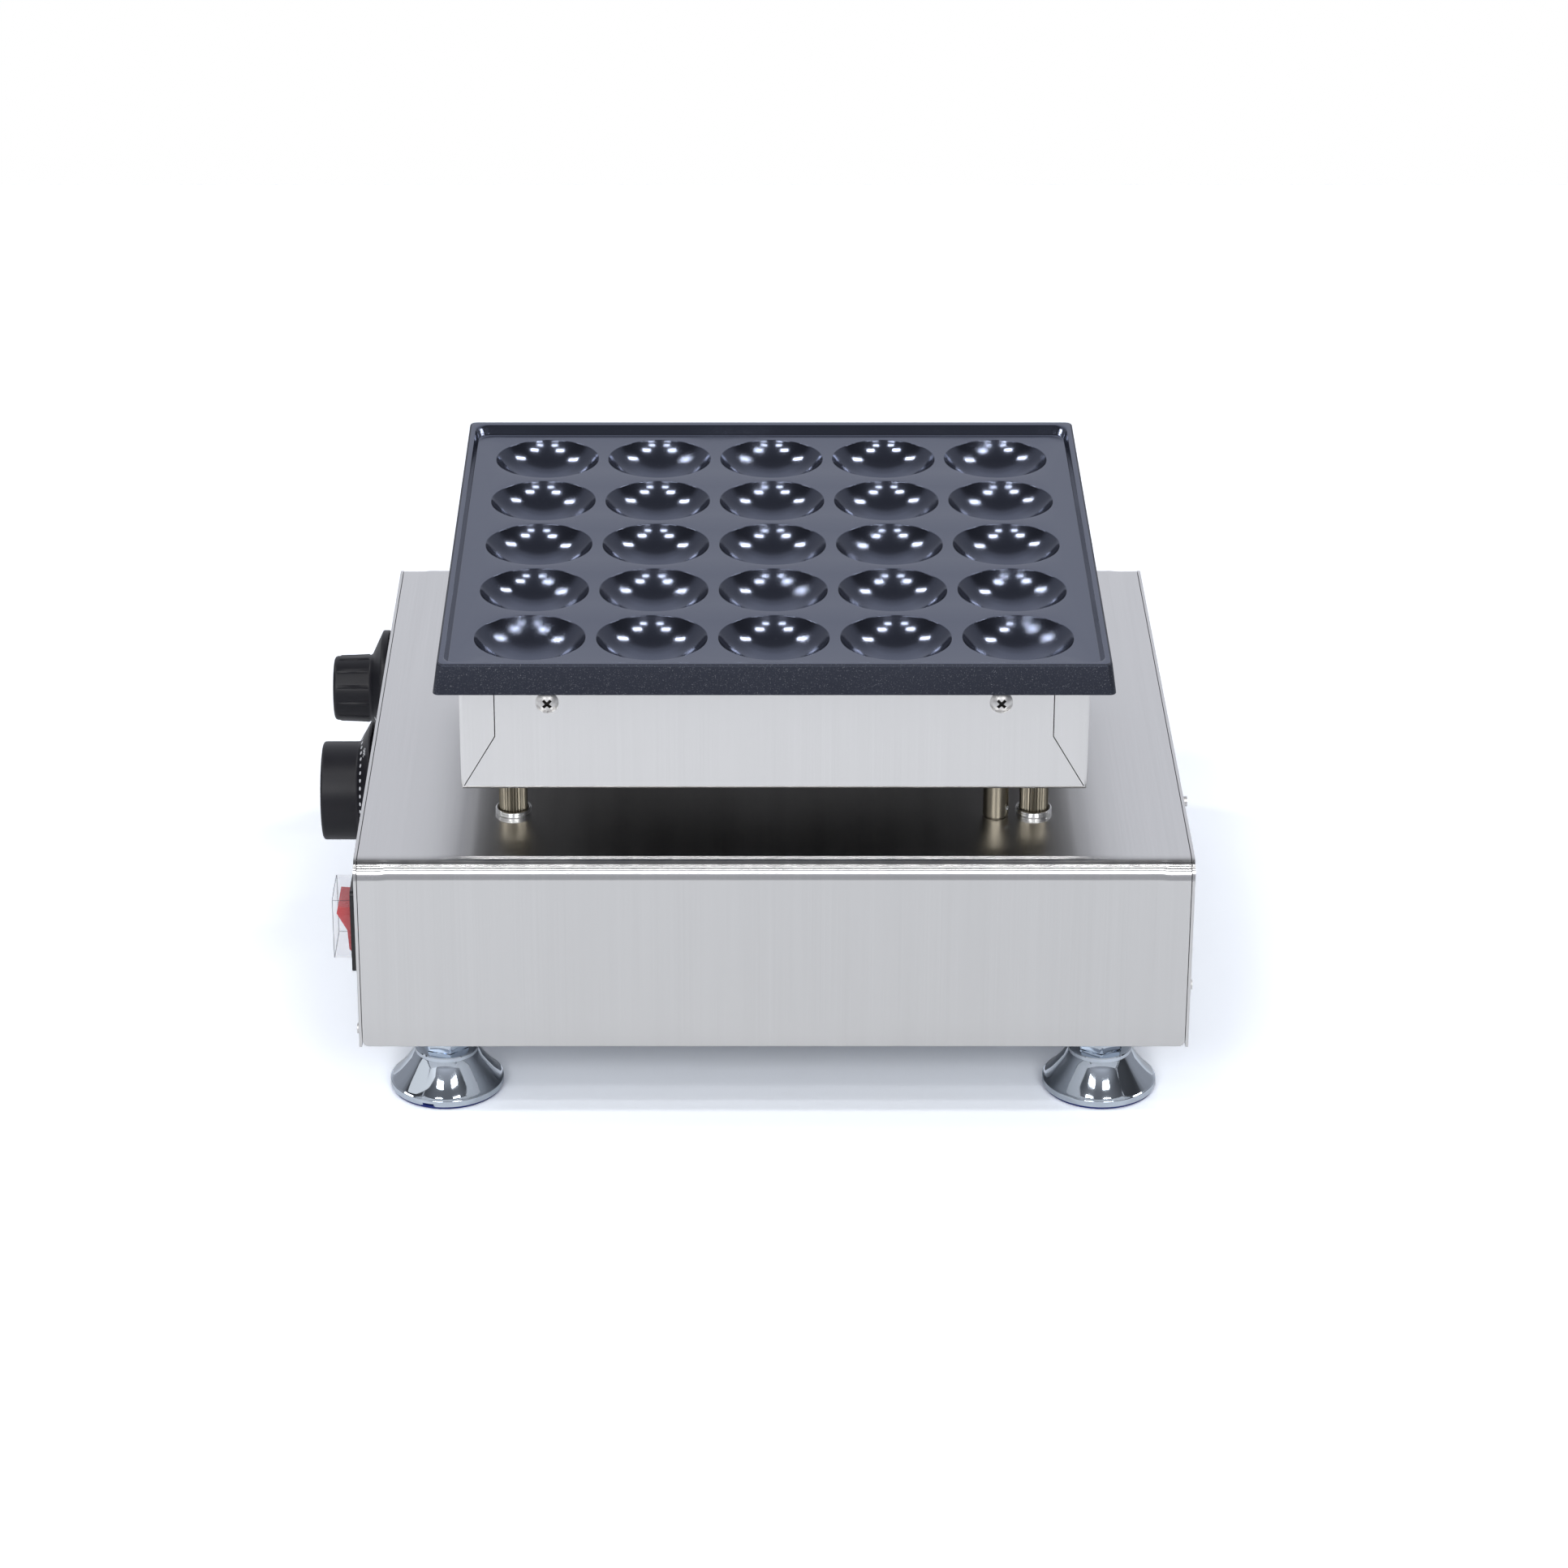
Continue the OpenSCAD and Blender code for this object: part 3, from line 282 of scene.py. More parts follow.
class Shape:
    """Collects loops of points in millimetres and the faces between them."""

    def __init__(self):
        self.bm = bmesh.new()
        self.slot = 0

    def loop(self, points):
        return [self.bm.verts.new(p) for p in points]

    def face(self, verts):
        made = self.bm.faces.new(verts)
        made.material_index = self.slot

    def skin(self, loops):
        """Quads from each closed loop to the next."""
        for a, b in zip(loops, loops[1:]):
            count = len(a)
            for i in range(count):
                j = (i + 1) % count
                self.face([a[i], a[j], b[j], b[i]])

    def fan(self, loop, centre):
        """Triangles from a closed loop to one point."""
        tip = self.bm.verts.new(centre)
        for i, vert in enumerate(loop):
            self.face([vert, loop[(i + 1) % len(loop)], tip])

    def fill(self, loops):
        """Flat surface between an outer loop and the holes in it."""
        edges = []
        for loop in loops:
            for i, vert in enumerate(loop):
                pair = [vert, loop[(i + 1) % len(loop)]]
                edges.append(self.bm.edges.get(pair) or self.bm.edges.new(pair))
        made = bmesh.ops.triangle_fill(self.bm, edges=edges, use_beauty=True)
        for item in made["geom"]:
            if isinstance(item, bmesh.types.BMFace):
                item.material_index = self.slot

    def lathe(self, profile, count, warp=None):
        """Turns (radius, height) points round Z; warp may change each point by its angle."""
        loops = []
        for radius, height in profile:
            ring = []
            for i in range(count):
                a = 2 * math.pi * i / count
                r, h = warp(radius, height, a) if warp else (radius, height)
                ring.append((r * math.cos(a), r * math.sin(a), h))
            loops.append(self.loop(ring))
        self.skin(loops)
        return loops

    def box(self, low, high):
        """Closed box between two corners."""
        x, y, z = zip(low, high)
        v = self.loop([(x[i], y[j], z[k]) for i in (0, 1) for j in (0, 1) for k in (0, 1)])
        for f in ((0, 1, 3, 2), (4, 6, 7, 5), (0, 4, 5, 1), (2, 3, 7, 6), (0, 2, 6, 4), (1, 5, 7, 3)):
            self.face([v[i] for i in f])

    def stamp(self, at, outline, top, base=-0.05):
        """Printed mark: an outline raised from just under a surface to just above it."""
        a, b = (self.loop([at @ Vector((x, y, z)) for x, y in outline]) for z in (top, base))
        self.skin([a, b])
        self.face(a)
        self.face(b)

    def done(self, name, mats, body, stands_for=(), at=None, uv=False, edge=0.0, angle=32):
        """Turns the faces into one object that rides on a body."""
        bmesh.ops.remove_doubles(self.bm, verts=self.bm.verts, dist=0.0005)
        bmesh.ops.recalc_face_normals(self.bm, faces=self.bm.faces)
        turn = at or Matrix.Identity(4)
        bmesh.ops.transform(self.bm, matrix=Matrix.Scale(0.001, 4) @ turn, verts=self.bm.verts)
        mesh = bpy.data.meshes.new(name)
        self.bm.to_mesh(mesh)
        self.bm.free()
        for mat in mats if isinstance(mats, list) else [mats]:
            mesh.materials.append(mat)
        obj = bpy.data.objects.new(name, mesh)
        bpy.context.scene.collection.objects.link(obj)
        shade(mesh, angle)
        if uv:
            box_uv(mesh)
        if edge:
            soften(obj, edge)
        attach(obj, body)
        if stands_for:
            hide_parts(*stands_for)
        return obj


def circle(x, y, radius, z, count=64):
    """Points of a level circle."""
    turns = [2 * math.pi * i / count for i in range(count)]
    return [(x + radius * math.cos(a), y + radius * math.sin(a), z) for a in turns]


def arc(cx, cy, radius, start, end, steps):
    """Points on an arc, from one angle to another in degrees."""
    turns = [math.radians(start + (end - start) * i / steps) for i in range(steps + 1)]
    return [(cx + radius * math.cos(a), cy + radius * math.sin(a)) for a in turns]


def out_left(y, z):
    """Turns a piece drawn upwards so that it points out of the left end plate."""
    over = Euler((0, math.radians(-90), 0)).to_matrix().to_4x4()
    return Matrix.Translation((MID_X - END_X, MID_Y + y, z)) @ over


# Pan

SPHERE = (BOWL_R ** 2 + BOWL_DEPTH ** 2) / (2 * BOWL_DEPTH)
RISE = SPHERE - BOWL_DEPTH
CENTRES = [(MID_X + (i - 2) * PITCH, PAN_Y + (j - 2) * PITCH) for j in range(5) for i in range(5)]


def rounded(half, radius, z, back=0.0):
    """Square outline of the pan with round corners; its back side may be drawn in."""
    steps = 12
    points = []
    for k, (sx, sy) in enumerate([(1, 1), (-1, 1), (-1, -1), (1, -1)]):
        for i in range(steps + 1):
            a = math.radians(90 * k + 90 * i / steps)
            inset = back if sy > 0 else 0
            points.append((MID_X + sx * (half - radius) + radius * math.cos(a),
                           PAN_Y + sy * (half - radius) + radius * math.sin(a) - inset, z))
    return points


def bowl_outline():
    """Radius and height of a bowl's inside, from its rounded lip to beside its lowest point."""
    lip, steps = 0.5, 22
    lip_r = math.sqrt((SPHERE + lip) ** 2 - (RISE + lip) ** 2)
    lean = math.degrees(math.atan2(RISE + lip, -lip_r))
    edge = arc(lip_r, -lip, lip, 90, lean, 5)
    start = math.asin(edge[-1][0] / SPHERE)
    turns = [start * (1 - k / steps) for k in range(1, steps)]
    return edge + [(SPHERE * math.sin(a), RISE - SPHERE * math.cos(a)) for a in turns]


def rim_inside():
    """Half width, corner radius and height from the plate up to the top of the rim."""
    foot, top, steep = PAN_HALF - 4.2, PAN_HALF - 2.6, 1.6 / 3.6
    return ([(foot - 0.5, 6, Z_PLATE), (foot - 0.1, 6, Z_PLATE + 0.08), (foot + 0.2, 6, Z_PLATE + 0.35)]
            + [(foot + steep * h, 6, Z_PLATE + h) for h in (0.8, 1.6, 2.4, 3.1)]
            + [(top - 0.05, 5.6, Z_RIM - 0.2), (top + 0.15, 5.4, Z_RIM - 0.05), (top + 0.45, 5.2, Z_RIM)])


def rim_outside():
    """Half width, corner radius and height from the top of the rim down the wall and back under it."""
    low = PAN_HALF + 1.7
    return [(PAN_HALF - 0.8, 2.6, Z_RIM), (PAN_HALF - 0.4, 2.7, Z_RIM - 0.1),
            (PAN_HALF - 0.1, 2.8, Z_RIM - 0.35), (PAN_HALF + 0.05, 2.8, Z_RIM - 0.8),
            (low - 0.1, 2.4, Z_SKIRT + 0.8), (low - 0.05, 2.4, Z_SKIRT + 0.4),
            (low - 0.2, 2.3, Z_SKIRT + 0.1), (low - 0.6, 2.2, Z_SKIRT),
            (129, 3, Z_SKIRT), (128.6, 3, Z_SKIRT + 0.4), (128.5, 3, Z_UNDER)]


def bowl_backs(s):
    """Rounded backs that hang under the plate at an even thickness; gives their upper loops."""
    wall, steps = 3, 10
    back = SPHERE + wall
    turn = math.acos((RISE + Z_PLATE - Z_UNDER) / back)
    turns = [turn * (1 - k / steps) for k in range(steps)]
    uppers = []
    for x, y in CENTRES:
        loops = [s.loop(circle(x, y, back * math.sin(a), Z_PLATE + RISE - back * math.cos(a), 32))
                 for a in turns]
        s.skin(loops)
        s.fan(loops[-1], (x, y, Z_PLATE + RISE - back))
        uppers.append(loops[0])
    return uppers


def bosses(s):
    """Six round bosses for the clamp bars, between the backs of the bowls."""
    radius, bottom = 4.5, 177
    for x in (-PITCH / 2, PITCH / 2):
        for y in (-PITCH, 0, PITCH):
            rings = [s.loop(circle(MID_X + x, PAN_Y + y, radius, z, 24)) for z in (Z_UNDER, bottom)]
            s.skin(rings)
            s.face(rings[-1])


def lugs(s):
    """Four blocks inside the tray's walls, which the tray is screwed to."""
    half, depth, wall = 8, 7, TRAY_HALF - SHEET
    for x in (-LUG_X, LUG_X):
        for side in (-1, 1):
            near, far = sorted((side * (wall - depth), side * wall))
            s.box((MID_X + x - half, PAN_Y + near, LUG_Z - half),
                  (MID_X + x + half, PAN_Y + far, Z_UNDER + 0.5))


def make_pan():
    """Rimmed plate with bowls, skirt, the backs of the bowls, bosses and lugs underneath."""
    # The back of the rim is drawn in more at the plate than at its top
    drawn_low, drawn_high = 3.5, 1.3
    taper = (drawn_low - drawn_high) / (Z_RIM - Z_PLATE)
    s = Shape()
    holes = []
    for x, y in CENTRES:
        loops = [s.loop(circle(x, y, r, Z_PLATE + h)) for r, h in bowl_outline()]
        s.skin(loops)
        s.fan(loops[-1], (x, y, Z_PLATE - BOWL_DEPTH))
        holes.append(loops[0])
    rim = [s.loop(rounded(half, r, z, drawn_low - taper * (z - Z_PLATE))) for half, r, z in rim_inside()]
    skirt = [s.loop(rounded(half, r, z)) for half, r, z in rim_outside()]
    s.skin(rim + skirt[:1])
    s.fill([rim[0]] + holes)
    s.slot = 1
    s.skin(skirt)
    backs = bowl_backs(s)
    s.fill([skirt[-1]] + backs)
    bosses(s)
    lugs(s)
    s.done("pan_casting", [pan_coat, wall_coat], ROOT, ["pan"], angle=50)


# Housing cover

def cover_path():
    """Outline of the sheet, as (y, z) from the housing's middle, from the front return to the back one."""
    hem, fold = 0.7, 8.0
    half = ([(SIDE_Y - 15, Z_BASE), (SIDE_Y - hem, Z_BASE)]
            + arc(SIDE_Y - hem, Z_BASE + hem, hem, -90, 0, 5)[1:]
            + [(SIDE_Y, 50), (SIDE_Y, 80)]
            + arc(SIDE_Y - fold, Z_TOP - fold, fold, 0, 90, 28)
            + [(110, Z_TOP), (50, Z_TOP)])
    return [(-y, z) for y, z in half] + [(y, z) for y, z in reversed(half)]


def moved_in(path, depth):
    """The same outline moved towards the inside of the housing."""
    inner = []
    for i, (y, z) in enumerate(path):
        a, b = path[max(i - 1, 0)], path[min(i + 1, len(path) - 1)]
        dy, dz = b[0] - a[0], b[1] - a[1]
        n = math.hypot(dy, dz)
        inner.append((y + dz / n * depth, z - dy / n * depth))
    return inner


def fold_dip(x):
    """How far a fold dips at a place along the housing: a slight swell, then a dip up to the end."""
    start, length, dip = 153, 4, 0.28
    crest, width, swell = 154.5, 1.6, 0.12
    reach = min(1, max(0, (abs(x) - start) / length))
    return dip * reach * reach * (3 - 2 * reach) - swell * math.exp(-((abs(x) - crest) / width) ** 2)


def make_cover():
    """One sheet folded over the front, the top and the back; each fold dips near its ends."""
    path = cover_path()
    outline = path + moved_in(path, SHEET)[::-1]
    count = len(path)
    # The sheet ends beside the end plates, with its lower corners rounded off up to a height
    ends, corner_r, corner_h = END_X - SHEET - 0.3, 2.2, 4
    # The dip's distance from the sharp corner, the reach it fades within, and its share that goes inwards
    fold_at, fade, inwards = 3.3, 9, 0.7
    # Places of the cross sections from the middle, closer together where the folds dip
    marks = [0, 40, 80, 120, 150, 153, 154.5, 156, 157.5, 159, 161, 163.5, 164.6, 165.5, ends]
    s = Shape()
    sections = []
    for x in [-m for m in reversed(marks[1:])] + marks:
        past = max(0, abs(x) - (ends - corner_r))
        lift = corner_r - math.sqrt(max(0, corner_r ** 2 - past ** 2))
        ring = []
        for y, z in outline:
            bend = max(0, 1 - abs(math.hypot(abs(y) - SIDE_Y, z - Z_TOP) - fold_at) / fade)
            drop = bend * fold_dip(x)
            rise = lift * max(0, 1 - (z - Z_BASE) / corner_h)
            ring.append((MID_X + x, MID_Y + y - math.copysign(drop * inwards, y), z - drop + rise))
        sections.append(s.loop(ring))
    s.skin(sections)
    for section in (sections[0], sections[-1]):
        for i in range(count - 1):
            s.face([section[i], section[i + 1], section[2 * count - 2 - i], section[2 * count - 1 - i]])
    s.done("cover_sheet", steel, ROOT, ["housing_cover"], uv=True, edge=0.3, angle=28)


# Feet

def make_bell(number, at):
    """Pressed bell with a rim with one notch, a hollow flank of two arcs, and a lip for the collar."""
    flank = ([(23.4, 1.3), (23.4, 2.5), (23.4, 2.6)]
             + arc(22.9, 3.5, 0.5, 0, 60, 4) + [(22.9, 4.05)]
             + arc(53.51, 35.56, 44, 225, 219.4, 8)
             + arc(92.92, 67.93, 95, 219.4, 214.5, 12)[1:]
             + [(13.2, 16.2), (13, 16.4), (12.95, 17.8), (12.6, LIP_TOP - 0.1)]
             + [(12.3, LIP_TOP), (8.4, LIP_TOP)])
    # The notch: half its width and the width of its sloped sides in degrees, and its depth
    half_notch, sides, depth = 6.8, 3, 2.2

    def notched(r, h, a):
        off = abs(math.degrees((a + math.pi) % (2 * math.pi) - math.pi))
        dent = min(1, max(0, (half_notch - off) / sides))
        return (r - depth * dent if r > 21 and h < 2.5 else r), h

    s = Shape()
    rings = s.lathe([(20.5, 1.3)] + flank, 180, notched)
    s.fan(rings[-1], (0, 0, LIP_TOP))
    inner = s.lathe([(20.5, 1.3), (10, 8.5)], 180, notched)
    s.fan(inner[-1], (0, 0, 8.5))
    s.done(f"foot_bell_skin_{number}", chrome, f"foot_{number}", [f"foot_bell_{number}"],
           at=at, angle=22)


def make_stud(number, at):
    """Hexagon collar with broken edges, and the threaded stud above it."""
    half_flats, top, stud_top = 8.5, LIP_TOP + 9.5, 49.6
    thread_r, thread_depth, pitch = 4.95, 0.32, 0.75

    def six(r, h, a):
        flat = half_flats / math.cos((a + math.pi / 6) % (math.pi / 3) - math.pi / 6)
        return min(r, flat), h

    s = Shape()
    rings = s.lathe([(8.5, LIP_TOP), (9.7, LIP_TOP + 0.25), (9.82, LIP_TOP + 0.4), (9.82, top - 1.1),
                     (9.7, top - 0.9), (8.2, top)], 144, six)
    s.fan(rings[0], (0, 0, LIP_TOP))
    s.fan(rings[-1], (0, 0, top))
    low = top - 0.1
    steps = int((stud_top - low) / (pitch / 2))
    thread = [(thread_r - thread_depth * (k % 2), low + pitch / 2 * k) for k in range(steps)]
    rings = s.lathe(thread + [(4.4, stud_top)], 32)
    s.fan(rings[0], (0, 0, low))
    s.fan(rings[-1], (0, 0, stud_top))
    s.done(f"foot_stud_turned_{number}", chrome, f"foot_{number}", [f"foot_stud_{number}"],
           at=at, angle=25)


def make_foot(number):
    """One foot, turned so that its notch faces where the photograph shows it."""
    x, y = FEET[number - 1]
    turn = Matrix.Rotation(math.radians(NOTCHES[number - 1]), 4, "Z")
    at = Matrix.Translation((MID_X + x, MID_Y + y, 0)) @ turn
    make_bell(number, at)
    make_stud(number, at)
    dress(f"foot_pad_{number}", blue_pad, 0.15)


# Knobs: profiles are radius and height above the end plate

def numeral(text, size, name, at, body):
    """Printed characters as a thin mesh."""
    curve = bpy.data.curves.new(name, "FONT")
    curve.body = text
    curve.size = size
    curve.extrude = 0.04
    curve.align_x = "CENTER"
    curve.align_y = "CENTER"
    curve.resolution_u = 4
    holder = bpy.data.objects.new(name, curve)
    bpy.context.scene.collection.objects.link(holder)
    bpy.context.view_layer.update()
    mesh = bpy.data.meshes.new_from_object(holder.evaluated_get(bpy.context.evaluated_depsgraph_get()))
    bpy.data.objects.remove(holder)
    mesh.materials.clear()
    mesh.materials.append(white_ink)
    mesh.transform(Matrix.Scale(0.001, 4) @ at)
    obj = bpy.data.objects.new(name, mesh)
    bpy.context.scene.collection.objects.link(obj)
    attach(obj, body)


def on_cone(turn, radius, height, slope, spin=0.0):
    """Place on a conical skirt: turned round the axis, at a radius, lying on the slope."""
    return (Matrix.Rotation(math.radians(turn), 4, "Z") @ Matrix.Translation((radius, 0, height))
            @ Matrix.Rotation(math.radians(slope), 4, "Y") @ Matrix.Rotation(math.radians(spin), 4, "Z"))


def slope_of(low, high):
    """Slope in degrees of a conical skirt between two points of its profile."""
    return math.degrees(math.atan2(high[1] - low[1], low[0] - high[0]))


def make_thermostat_knob():
    """Smooth round grip on a dial skirt with dots and numerals."""
    body = "thermostat_dial"
    place = out_left(THERMOSTAT_Y, KNOB_Z)
    cone = [(29.3, 1.9), (21.6, 6.2)]
    profile = ([(10, 1.0), (29.0, 1.0), (29.4, 1.15), (29.5, 1.5)] + cone
               + [(21.1, 6.5), (20.85, 6.9), (20.8, 7.6), (20.8, 20.6)]
               + arc(19.6, 20.9, 1.2, 0, 80, 6)
               + [(17, 22.35), (13, 22.65), (6.5, 22.9)])
    s = Shape()
    rings = s.lathe(profile, 128)
    s.fan(rings[-1], (0, 0, 23.0))
    s.fan(s.lathe([(10, 1.0), (10, 4.1)], 128)[-1], (0, 0, 4.1))
    s.done("thermostat_knob_turned", black_satin, body, ["thermostat_knob"], at=place)

    slope = slope_of(*cone)
    first, dot_step, text_step = 145, 8, 57.6
    dot_r, text_size = 0.78, 2.9
    dot = [(x, y) for x, y, _ in circle(0, 0, dot_r, 0, 16)]
    dots = Shape()
    for k in range(37):
        dots.stamp(on_cone(first - dot_step * k, 23.6, 5.1, slope), dot, 0.06)
    dots.done("thermostat_dots", white_ink, body, at=place)
    for k, text in enumerate(("50", "100", "150", "200", "250", "300")):
        at = place @ on_cone(first - text_step * k, 26.5, 3.5, slope, 90)
        numeral(text, text_size, f"thermostat_numeral_{k + 1}", at, body)


def make_timer_knob():
    """Ribbed grip on a conical skirt with a rim band, marks and numerals."""
    body = "timer_dial"
    place = out_left(TIMER_Y, KNOB_Z)
    ribs, rib_turn = 12, 0.09
    # Each rib stands out by a height within a half width, with a shallow groove at a place beside it
    rib_out, rib_half = 0.36, 0.5
    groove, groove_at, groove_half = 0.16, 0.65, 0.3
    grip_low, grip_high, fade_h = 9.8, 23.4, 0.5
    cone = [(24.6, 4.3), (16.4, 8.1)]
    profile = ([(10, 1.0), (25.2, 1.0), (25.5, 1.15), (25.6, 1.5), (25.6, 3.6), (25.4, 3.9), (25.1, 4.05)]
               + cone + [(15.2, 8.7), (14.75, 9.4), (14.7, grip_low)]
               + [(14.7, 10.3), (14.4, 16), (14.2, 22.6), (14.2, grip_high)]
               + arc(12.6, 23.9, 1.6, 0, 84, 7) + [(9, 25.5)])

    def ribbed(r, h, a):
        step = 2 * math.pi / ribs
        off = abs((a + rib_turn + step / 2) % step - step / 2) * r
        deep = groove * max(0, 1 - abs(off - groove_at) / groove_half)
        deep -= rib_out * max(0, 1 - off / rib_half)
        fade = min(1, max(0, (h - grip_low) / fade_h)) * min(1, max(0, (grip_high - h) / fade_h))
        return (r - deep * fade if r > 12 else r), h

    s = Shape()
    rings = s.lathe(profile, 288, ribbed)
    s.fan(rings[-1], (0, 0, 25.5))
    s.fan(s.lathe([(10, 1.0), (10, 4.1)], 288)[-1], (0, 0, 4.1))
    s.done("timer_knob_turned", black_satin, body, ["timer_knob"], at=place, angle=38)

    slope = slope_of(*cone)
    first, mark_step, text_size = -110, 15, 2.6
    marks = Shape()
    for k in range(13):
        long, wide = (1.3 if k % 2 == 0 else 0.8), 0.22
        bar = [(-long, -wide), (long, -wide), (long, wide), (-long, wide)]
        marks.stamp(on_cone(first - mark_step * k, 22.7, 5.22, slope), bar, 0.05)
    marks.done("timer_marks", white_ink, body, at=place)
    for k in range(7):
        at = place @ on_cone(first - 2 * mark_step * k, 19.5, 6.72, slope, 90)
        numeral(str(5 * k), text_size, f"timer_numeral_{k + 1}", at, body)


make_pan()
make_cover()
for number in (1, 2, 3, 4):
    make_foot(number)
make_thermostat_knob()
make_timer_knob()


# CAD nodes that are shown as they are

def dress_tray():
    """Folded tray: its underside and the rounded faces of its edges take a darker, rougher copy of its
    steel, which is painted shade.
    """
    fold_h = 4.5
    tray = dress("tray", tray_steel, 0.1, uv=True)
    tray.data.materials.append(tray_painted_shade)
    # The rounded edges take the darker steel as well: painted shade
    tray.modifiers["edges"].material = 1
    # Painted shade: faces that look down near the tray's bottom take the darker steel
    for face in tray.data.polygons:
        if face.normal.z < -0.15 and 1000 * face.center.z < Z_TRAY + fold_h:
            face.material_index = 1


def dress_tray_screws():
    """Pale screw heads, with painted shade in their cross recesses."""
    # A recess lies within a radius of the screw's axis; its heights are above the tray's wall
    recess_r, floor_low, floor_high = 2.2, 0.1, 0.5
    screws = dress("tray_screws", screw_steel, 0.12)
    screws.data.materials.append(recess_shade)
    for face in screws.data.polygons:
        x, y, z = 1000 * face.center
        near = math.hypot(abs(x - MID_X) - LUG_X, z - LUG_Z) < recess_r
        height = abs(y - PAN_Y) - TRAY_HALF
        upright = abs(face.normal.y) < 0.5
        if near and height > floor_low and (height < floor_high or upright):
            # Painted shade: the recess faces take the near-black steel
            face.material_index = 1


dress_tray()
dress_tray_screws()
dress("control_panel", steel, 0.35, uv=True)
dress("right_panel", steel, 0.35, uv=True)
dress("base_plate", plain_steel, 0.15)
dress("panel_screws", screw_steel, 0.1)
dress("base_screws", screw_steel, 0.1)
dress("posts", nickel, angle=20)
dress("post_eyelets", wire)
dress("conduit", nickel)
dress("set_screw", plain_steel, 0.08)
dress("switch_bezel", black_gloss, 0.45)
dress("switch_body", black_gloss, 0.2)
dress("switch_cover", clear, 0.3)
dress("rocker", red_plastic, 0.45)
dress("power_lamp", green_lens, 0.15)
dress("heat_lamp", amber_lens, 0.15)
dress("gland_seal", rubber, 0.15)
dress("heating_element", sheath)
dress("element_terminals", ceramic, 0.15)
dress("insulation", blanket, 0.8)
dress("capillary", copper)
dress("bulb", copper, 0.3)
dress("earth_screw", brass, 0.15)
dress("thermostat_shaft", brass)
dress("timer_shaft", brass)
dress("wire_loom", red_sleeve)
for name in ("gland_body", "gland_cap", "gland_locknut"):
    dress(name, black_satin, 0.25)
for name in ("element_clamps", "clamp_screws", "post_bolts", "post_nuts", "conduit_nuts", "foot_inserts",
             "control_nuts", "bulb_clip"):
    dress(name, plain_steel, 0.12)
for name in ("thermostat_body", "timer_body", "terminal_block"):
    dress(name, cream, 0.4)


# Studio

def softbox(name, toward, slant, distance, wide, tall, radiance):
    """Lamp in a direction, its long side along the slant; wide and tall are its angles of view."""
    data = bpy.data.lights.new(name, "AREA")
    data.shape = "RECTANGLE"
    data.size = 2 * distance * math.tan(math.radians(wide / 2))
    data.size_y = 2 * distance * math.tan(math.radians(tall / 2))
    data.energy = radiance * math.pi * data.size * data.size_y
    obj = bpy.data.objects.new(name, data)
    way = Vector(toward).normalized()
    along = (Vector(slant) - Vector(slant).dot(way) * way).normalized()
    across = way.cross(along)
    obj.location = Vector((0, 0, Z_PLATE / 1000)) + distance * way
    obj.rotation_euler = Matrix((along, across, way)).transposed().to_euler()
    obj.visible_camera = False
    bpy.context.scene.collection.objects.link(obj)


def make_lamps():
    """Five softboxes on each side, which the bowls and the feet mirror, and a dim card on the left."""
    pairs = [("side", (0.62, 0.225, 0.75), (0.51, 0.61, -0.6), 4.4, 16, 4, 18),
             ("mid", (0.375, -0.295, 0.876), (0.89, 0.36, -0.27), 3.8, 13, 4, 20),
             ("front", (0.23, -0.5, 0.83), (0.97, 0.21, -0.14), 4.0, 10, 3, 14),
             ("low", (0.3, -0.85, 0.44), (1, 0, 0), 3.2, 17, 12, 7),
             ("brow", (0.25, -0.69, 0.68), (1, 0, 0), 3.4, 13, 4, 7)]
    for side, tag in ((-1, "left"), (1, "right")):
        for name, (x, y, z), (u, v, w), distance, wide, tall, radiance in pairs:
            # A level lamp stays level on both sides, and a slanted one is mirrored
            slant = (side * u if v else u, v, w)
            softbox(f"lamp_{name}_{tag}", (side * x, y, z), slant, distance, wide, tall, radiance)
    softbox("card_left", (-0.55, -0.32, 0.1), (-0.5, 0.86, 0), 0.65, 45, 25, 0.65)


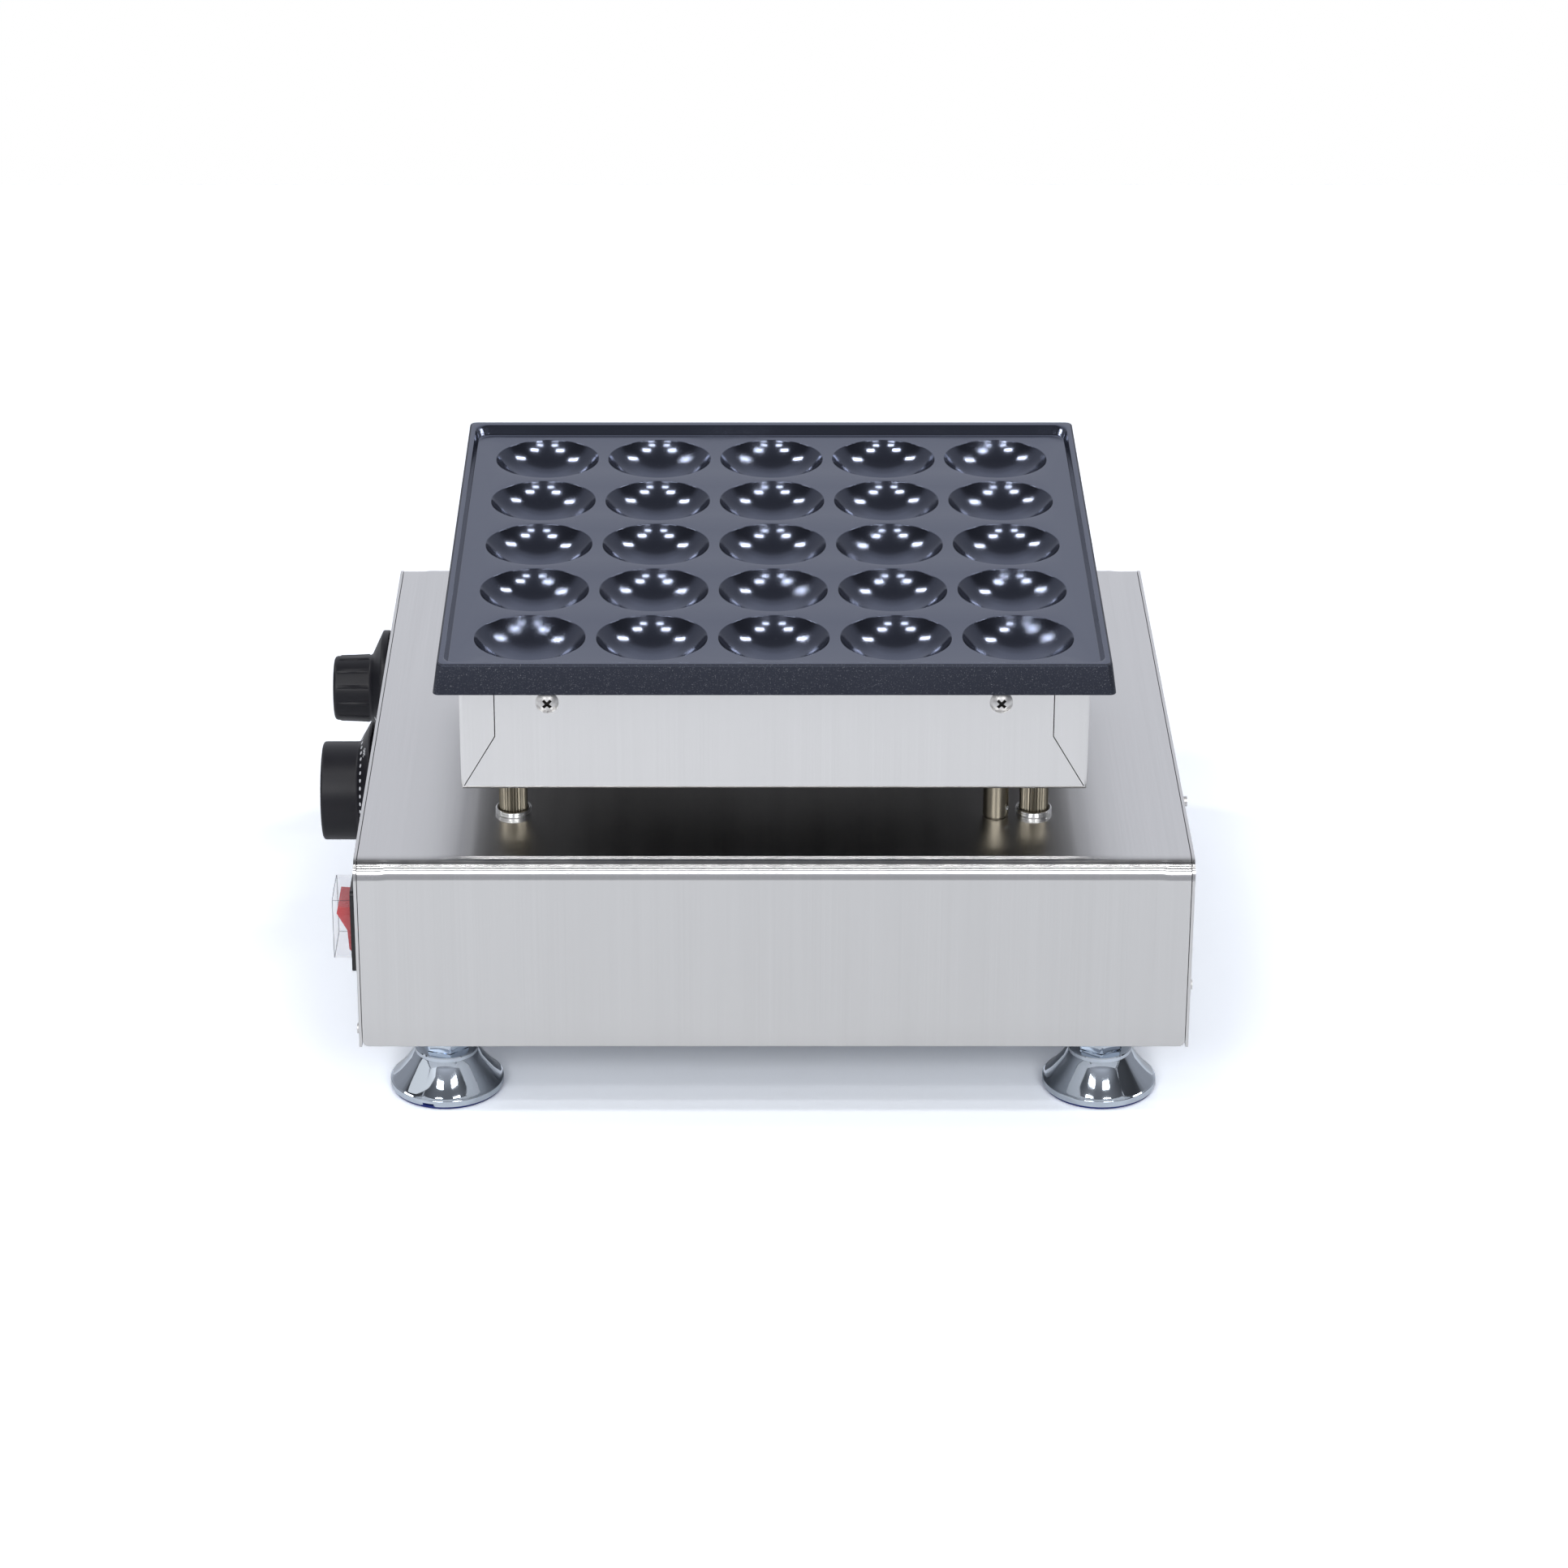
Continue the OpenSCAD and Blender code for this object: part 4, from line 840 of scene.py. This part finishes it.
def make_sky():
    """White for the camera; for all else a soft room that changes from front to back and dims sideways."""
    # Degrees from the zenith, minus towards the front and plus towards the back, and the brightness there
    stops = [(-180, 0.5), (-100, 0.42), (-78, 0.42), (-70, 0.6), (-52, 0.55), (-46, 0.3), (-38, 0.14),
             (0, 0.1), (12, 0.12), (24, 0.42), (36, 0.62), (62, 0.7), (90, 0.7), (180, 0.5)]
    cool = (0.935, 0.955, 1.03)
    world = bpy.data.worlds.new("studio")
    bpy.context.scene.world = world
    world.use_nodes = True
    sky = world.node_tree
    sky.nodes.clear()
    way = add(sky, "SeparateXYZ", {0: add(sky, "TexCoord").outputs["Generated"]})
    angle = maths(sky, "ARCTAN2", way.outputs[1], way.outputs[2])
    turn = spread(sky, angle, 0, 1, -math.pi, math.pi)
    ramp = add(sky, "ValToRGB", {"Fac": turn})
    ramp.color_ramp.interpolation = "EASE"
    ramp.color_ramp.elements.remove(ramp.color_ramp.elements[1])
    for degrees, value in stops:
        first = degrees == stops[0][0]
        elements = ramp.color_ramp.elements
        item = elements[0] if first else elements.new((degrees + 180) / 360)
        item.color = (*(value * c for c in cool), 1)
    sideways = maths(sky, "ABSOLUTE", way.outputs[0])
    limits = {"From Min": 0.3, "From Max": 0.7, "To Min": 1.0, "To Max": 0.42}
    dim = add(sky, "MapRange", {"Value": sideways, **limits}, interpolation_type="SMOOTHSTEP").outputs[0]
    lit = add(sky, "Background", {"Color": ramp.outputs[0], "Strength": dim})
    seen = add(sky, "Background", {"Color": (1, 1, 1, 1), "Strength": 1.0})
    direct = add(sky, "LightPath").outputs["Is Camera Ray"]
    mixed = add(sky, "MixShader", {0: direct, 1: lit.outputs[0], 2: seen.outputs[0]})
    sky.links.new(mixed.outputs[0], add(sky, "OutputWorld").inputs[0])


def make_floor():
    """Plain sheet of paper, whiter for the camera, so that only the shadow stays; sizes in metres."""
    side, front, back = 1.5, -0.56, 1.05
    mesh = bpy.data.meshes.new("floor")
    mesh.from_pydata([(-side, front, 0), (side, front, 0), (side, back, 0), (-side, back, 0)],
                     [], [(0, 1, 2, 3)])
    floor = bpy.data.objects.new("floor", mesh)
    floor.location.z = -0.0001
    bpy.context.scene.collection.objects.link(floor)
    paper = bpy.data.materials.new("paper")
    paper.use_nodes = True
    tree = paper.node_tree
    tree.nodes.clear()
    plain = add(tree, "BsdfDiffuse", {"Color": (0.8, 0.815, 0.84, 1)})
    bright = add(tree, "BsdfDiffuse", {"Color": (1.54, 1.6, 1.69, 1)})
    direct = add(tree, "LightPath").outputs["Is Camera Ray"]
    mixed = add(tree, "MixShader", {0: direct, 1: plain.outputs[0], 2: bright.outputs[0]})
    tree.links.new(mixed.outputs[0], add(tree, "OutputMaterial").inputs[0])
    mesh.materials.append(paper)


def make_camera():
    """The place that the photograph was taken from."""
    looks_down = 25.27
    lens = bpy.data.cameras.new("camera")
    lens.sensor_width = 36
    lens.lens = 110.81
    lens.shift_x = 0.02557
    lens.clip_start = 0.1
    lens.clip_end = 50
    camera = bpy.data.objects.new("camera", lens)
    camera.location = (-0.0003, -1.8817, 0.9634)
    camera.rotation_euler = (math.radians(90 - looks_down), 0, 0)
    bpy.context.scene.collection.objects.link(camera)
    bpy.context.scene.camera = camera


make_lamps()
make_sky()
make_floor()
make_camera()
bpy.context.scene.view_settings.view_transform = "Standard"
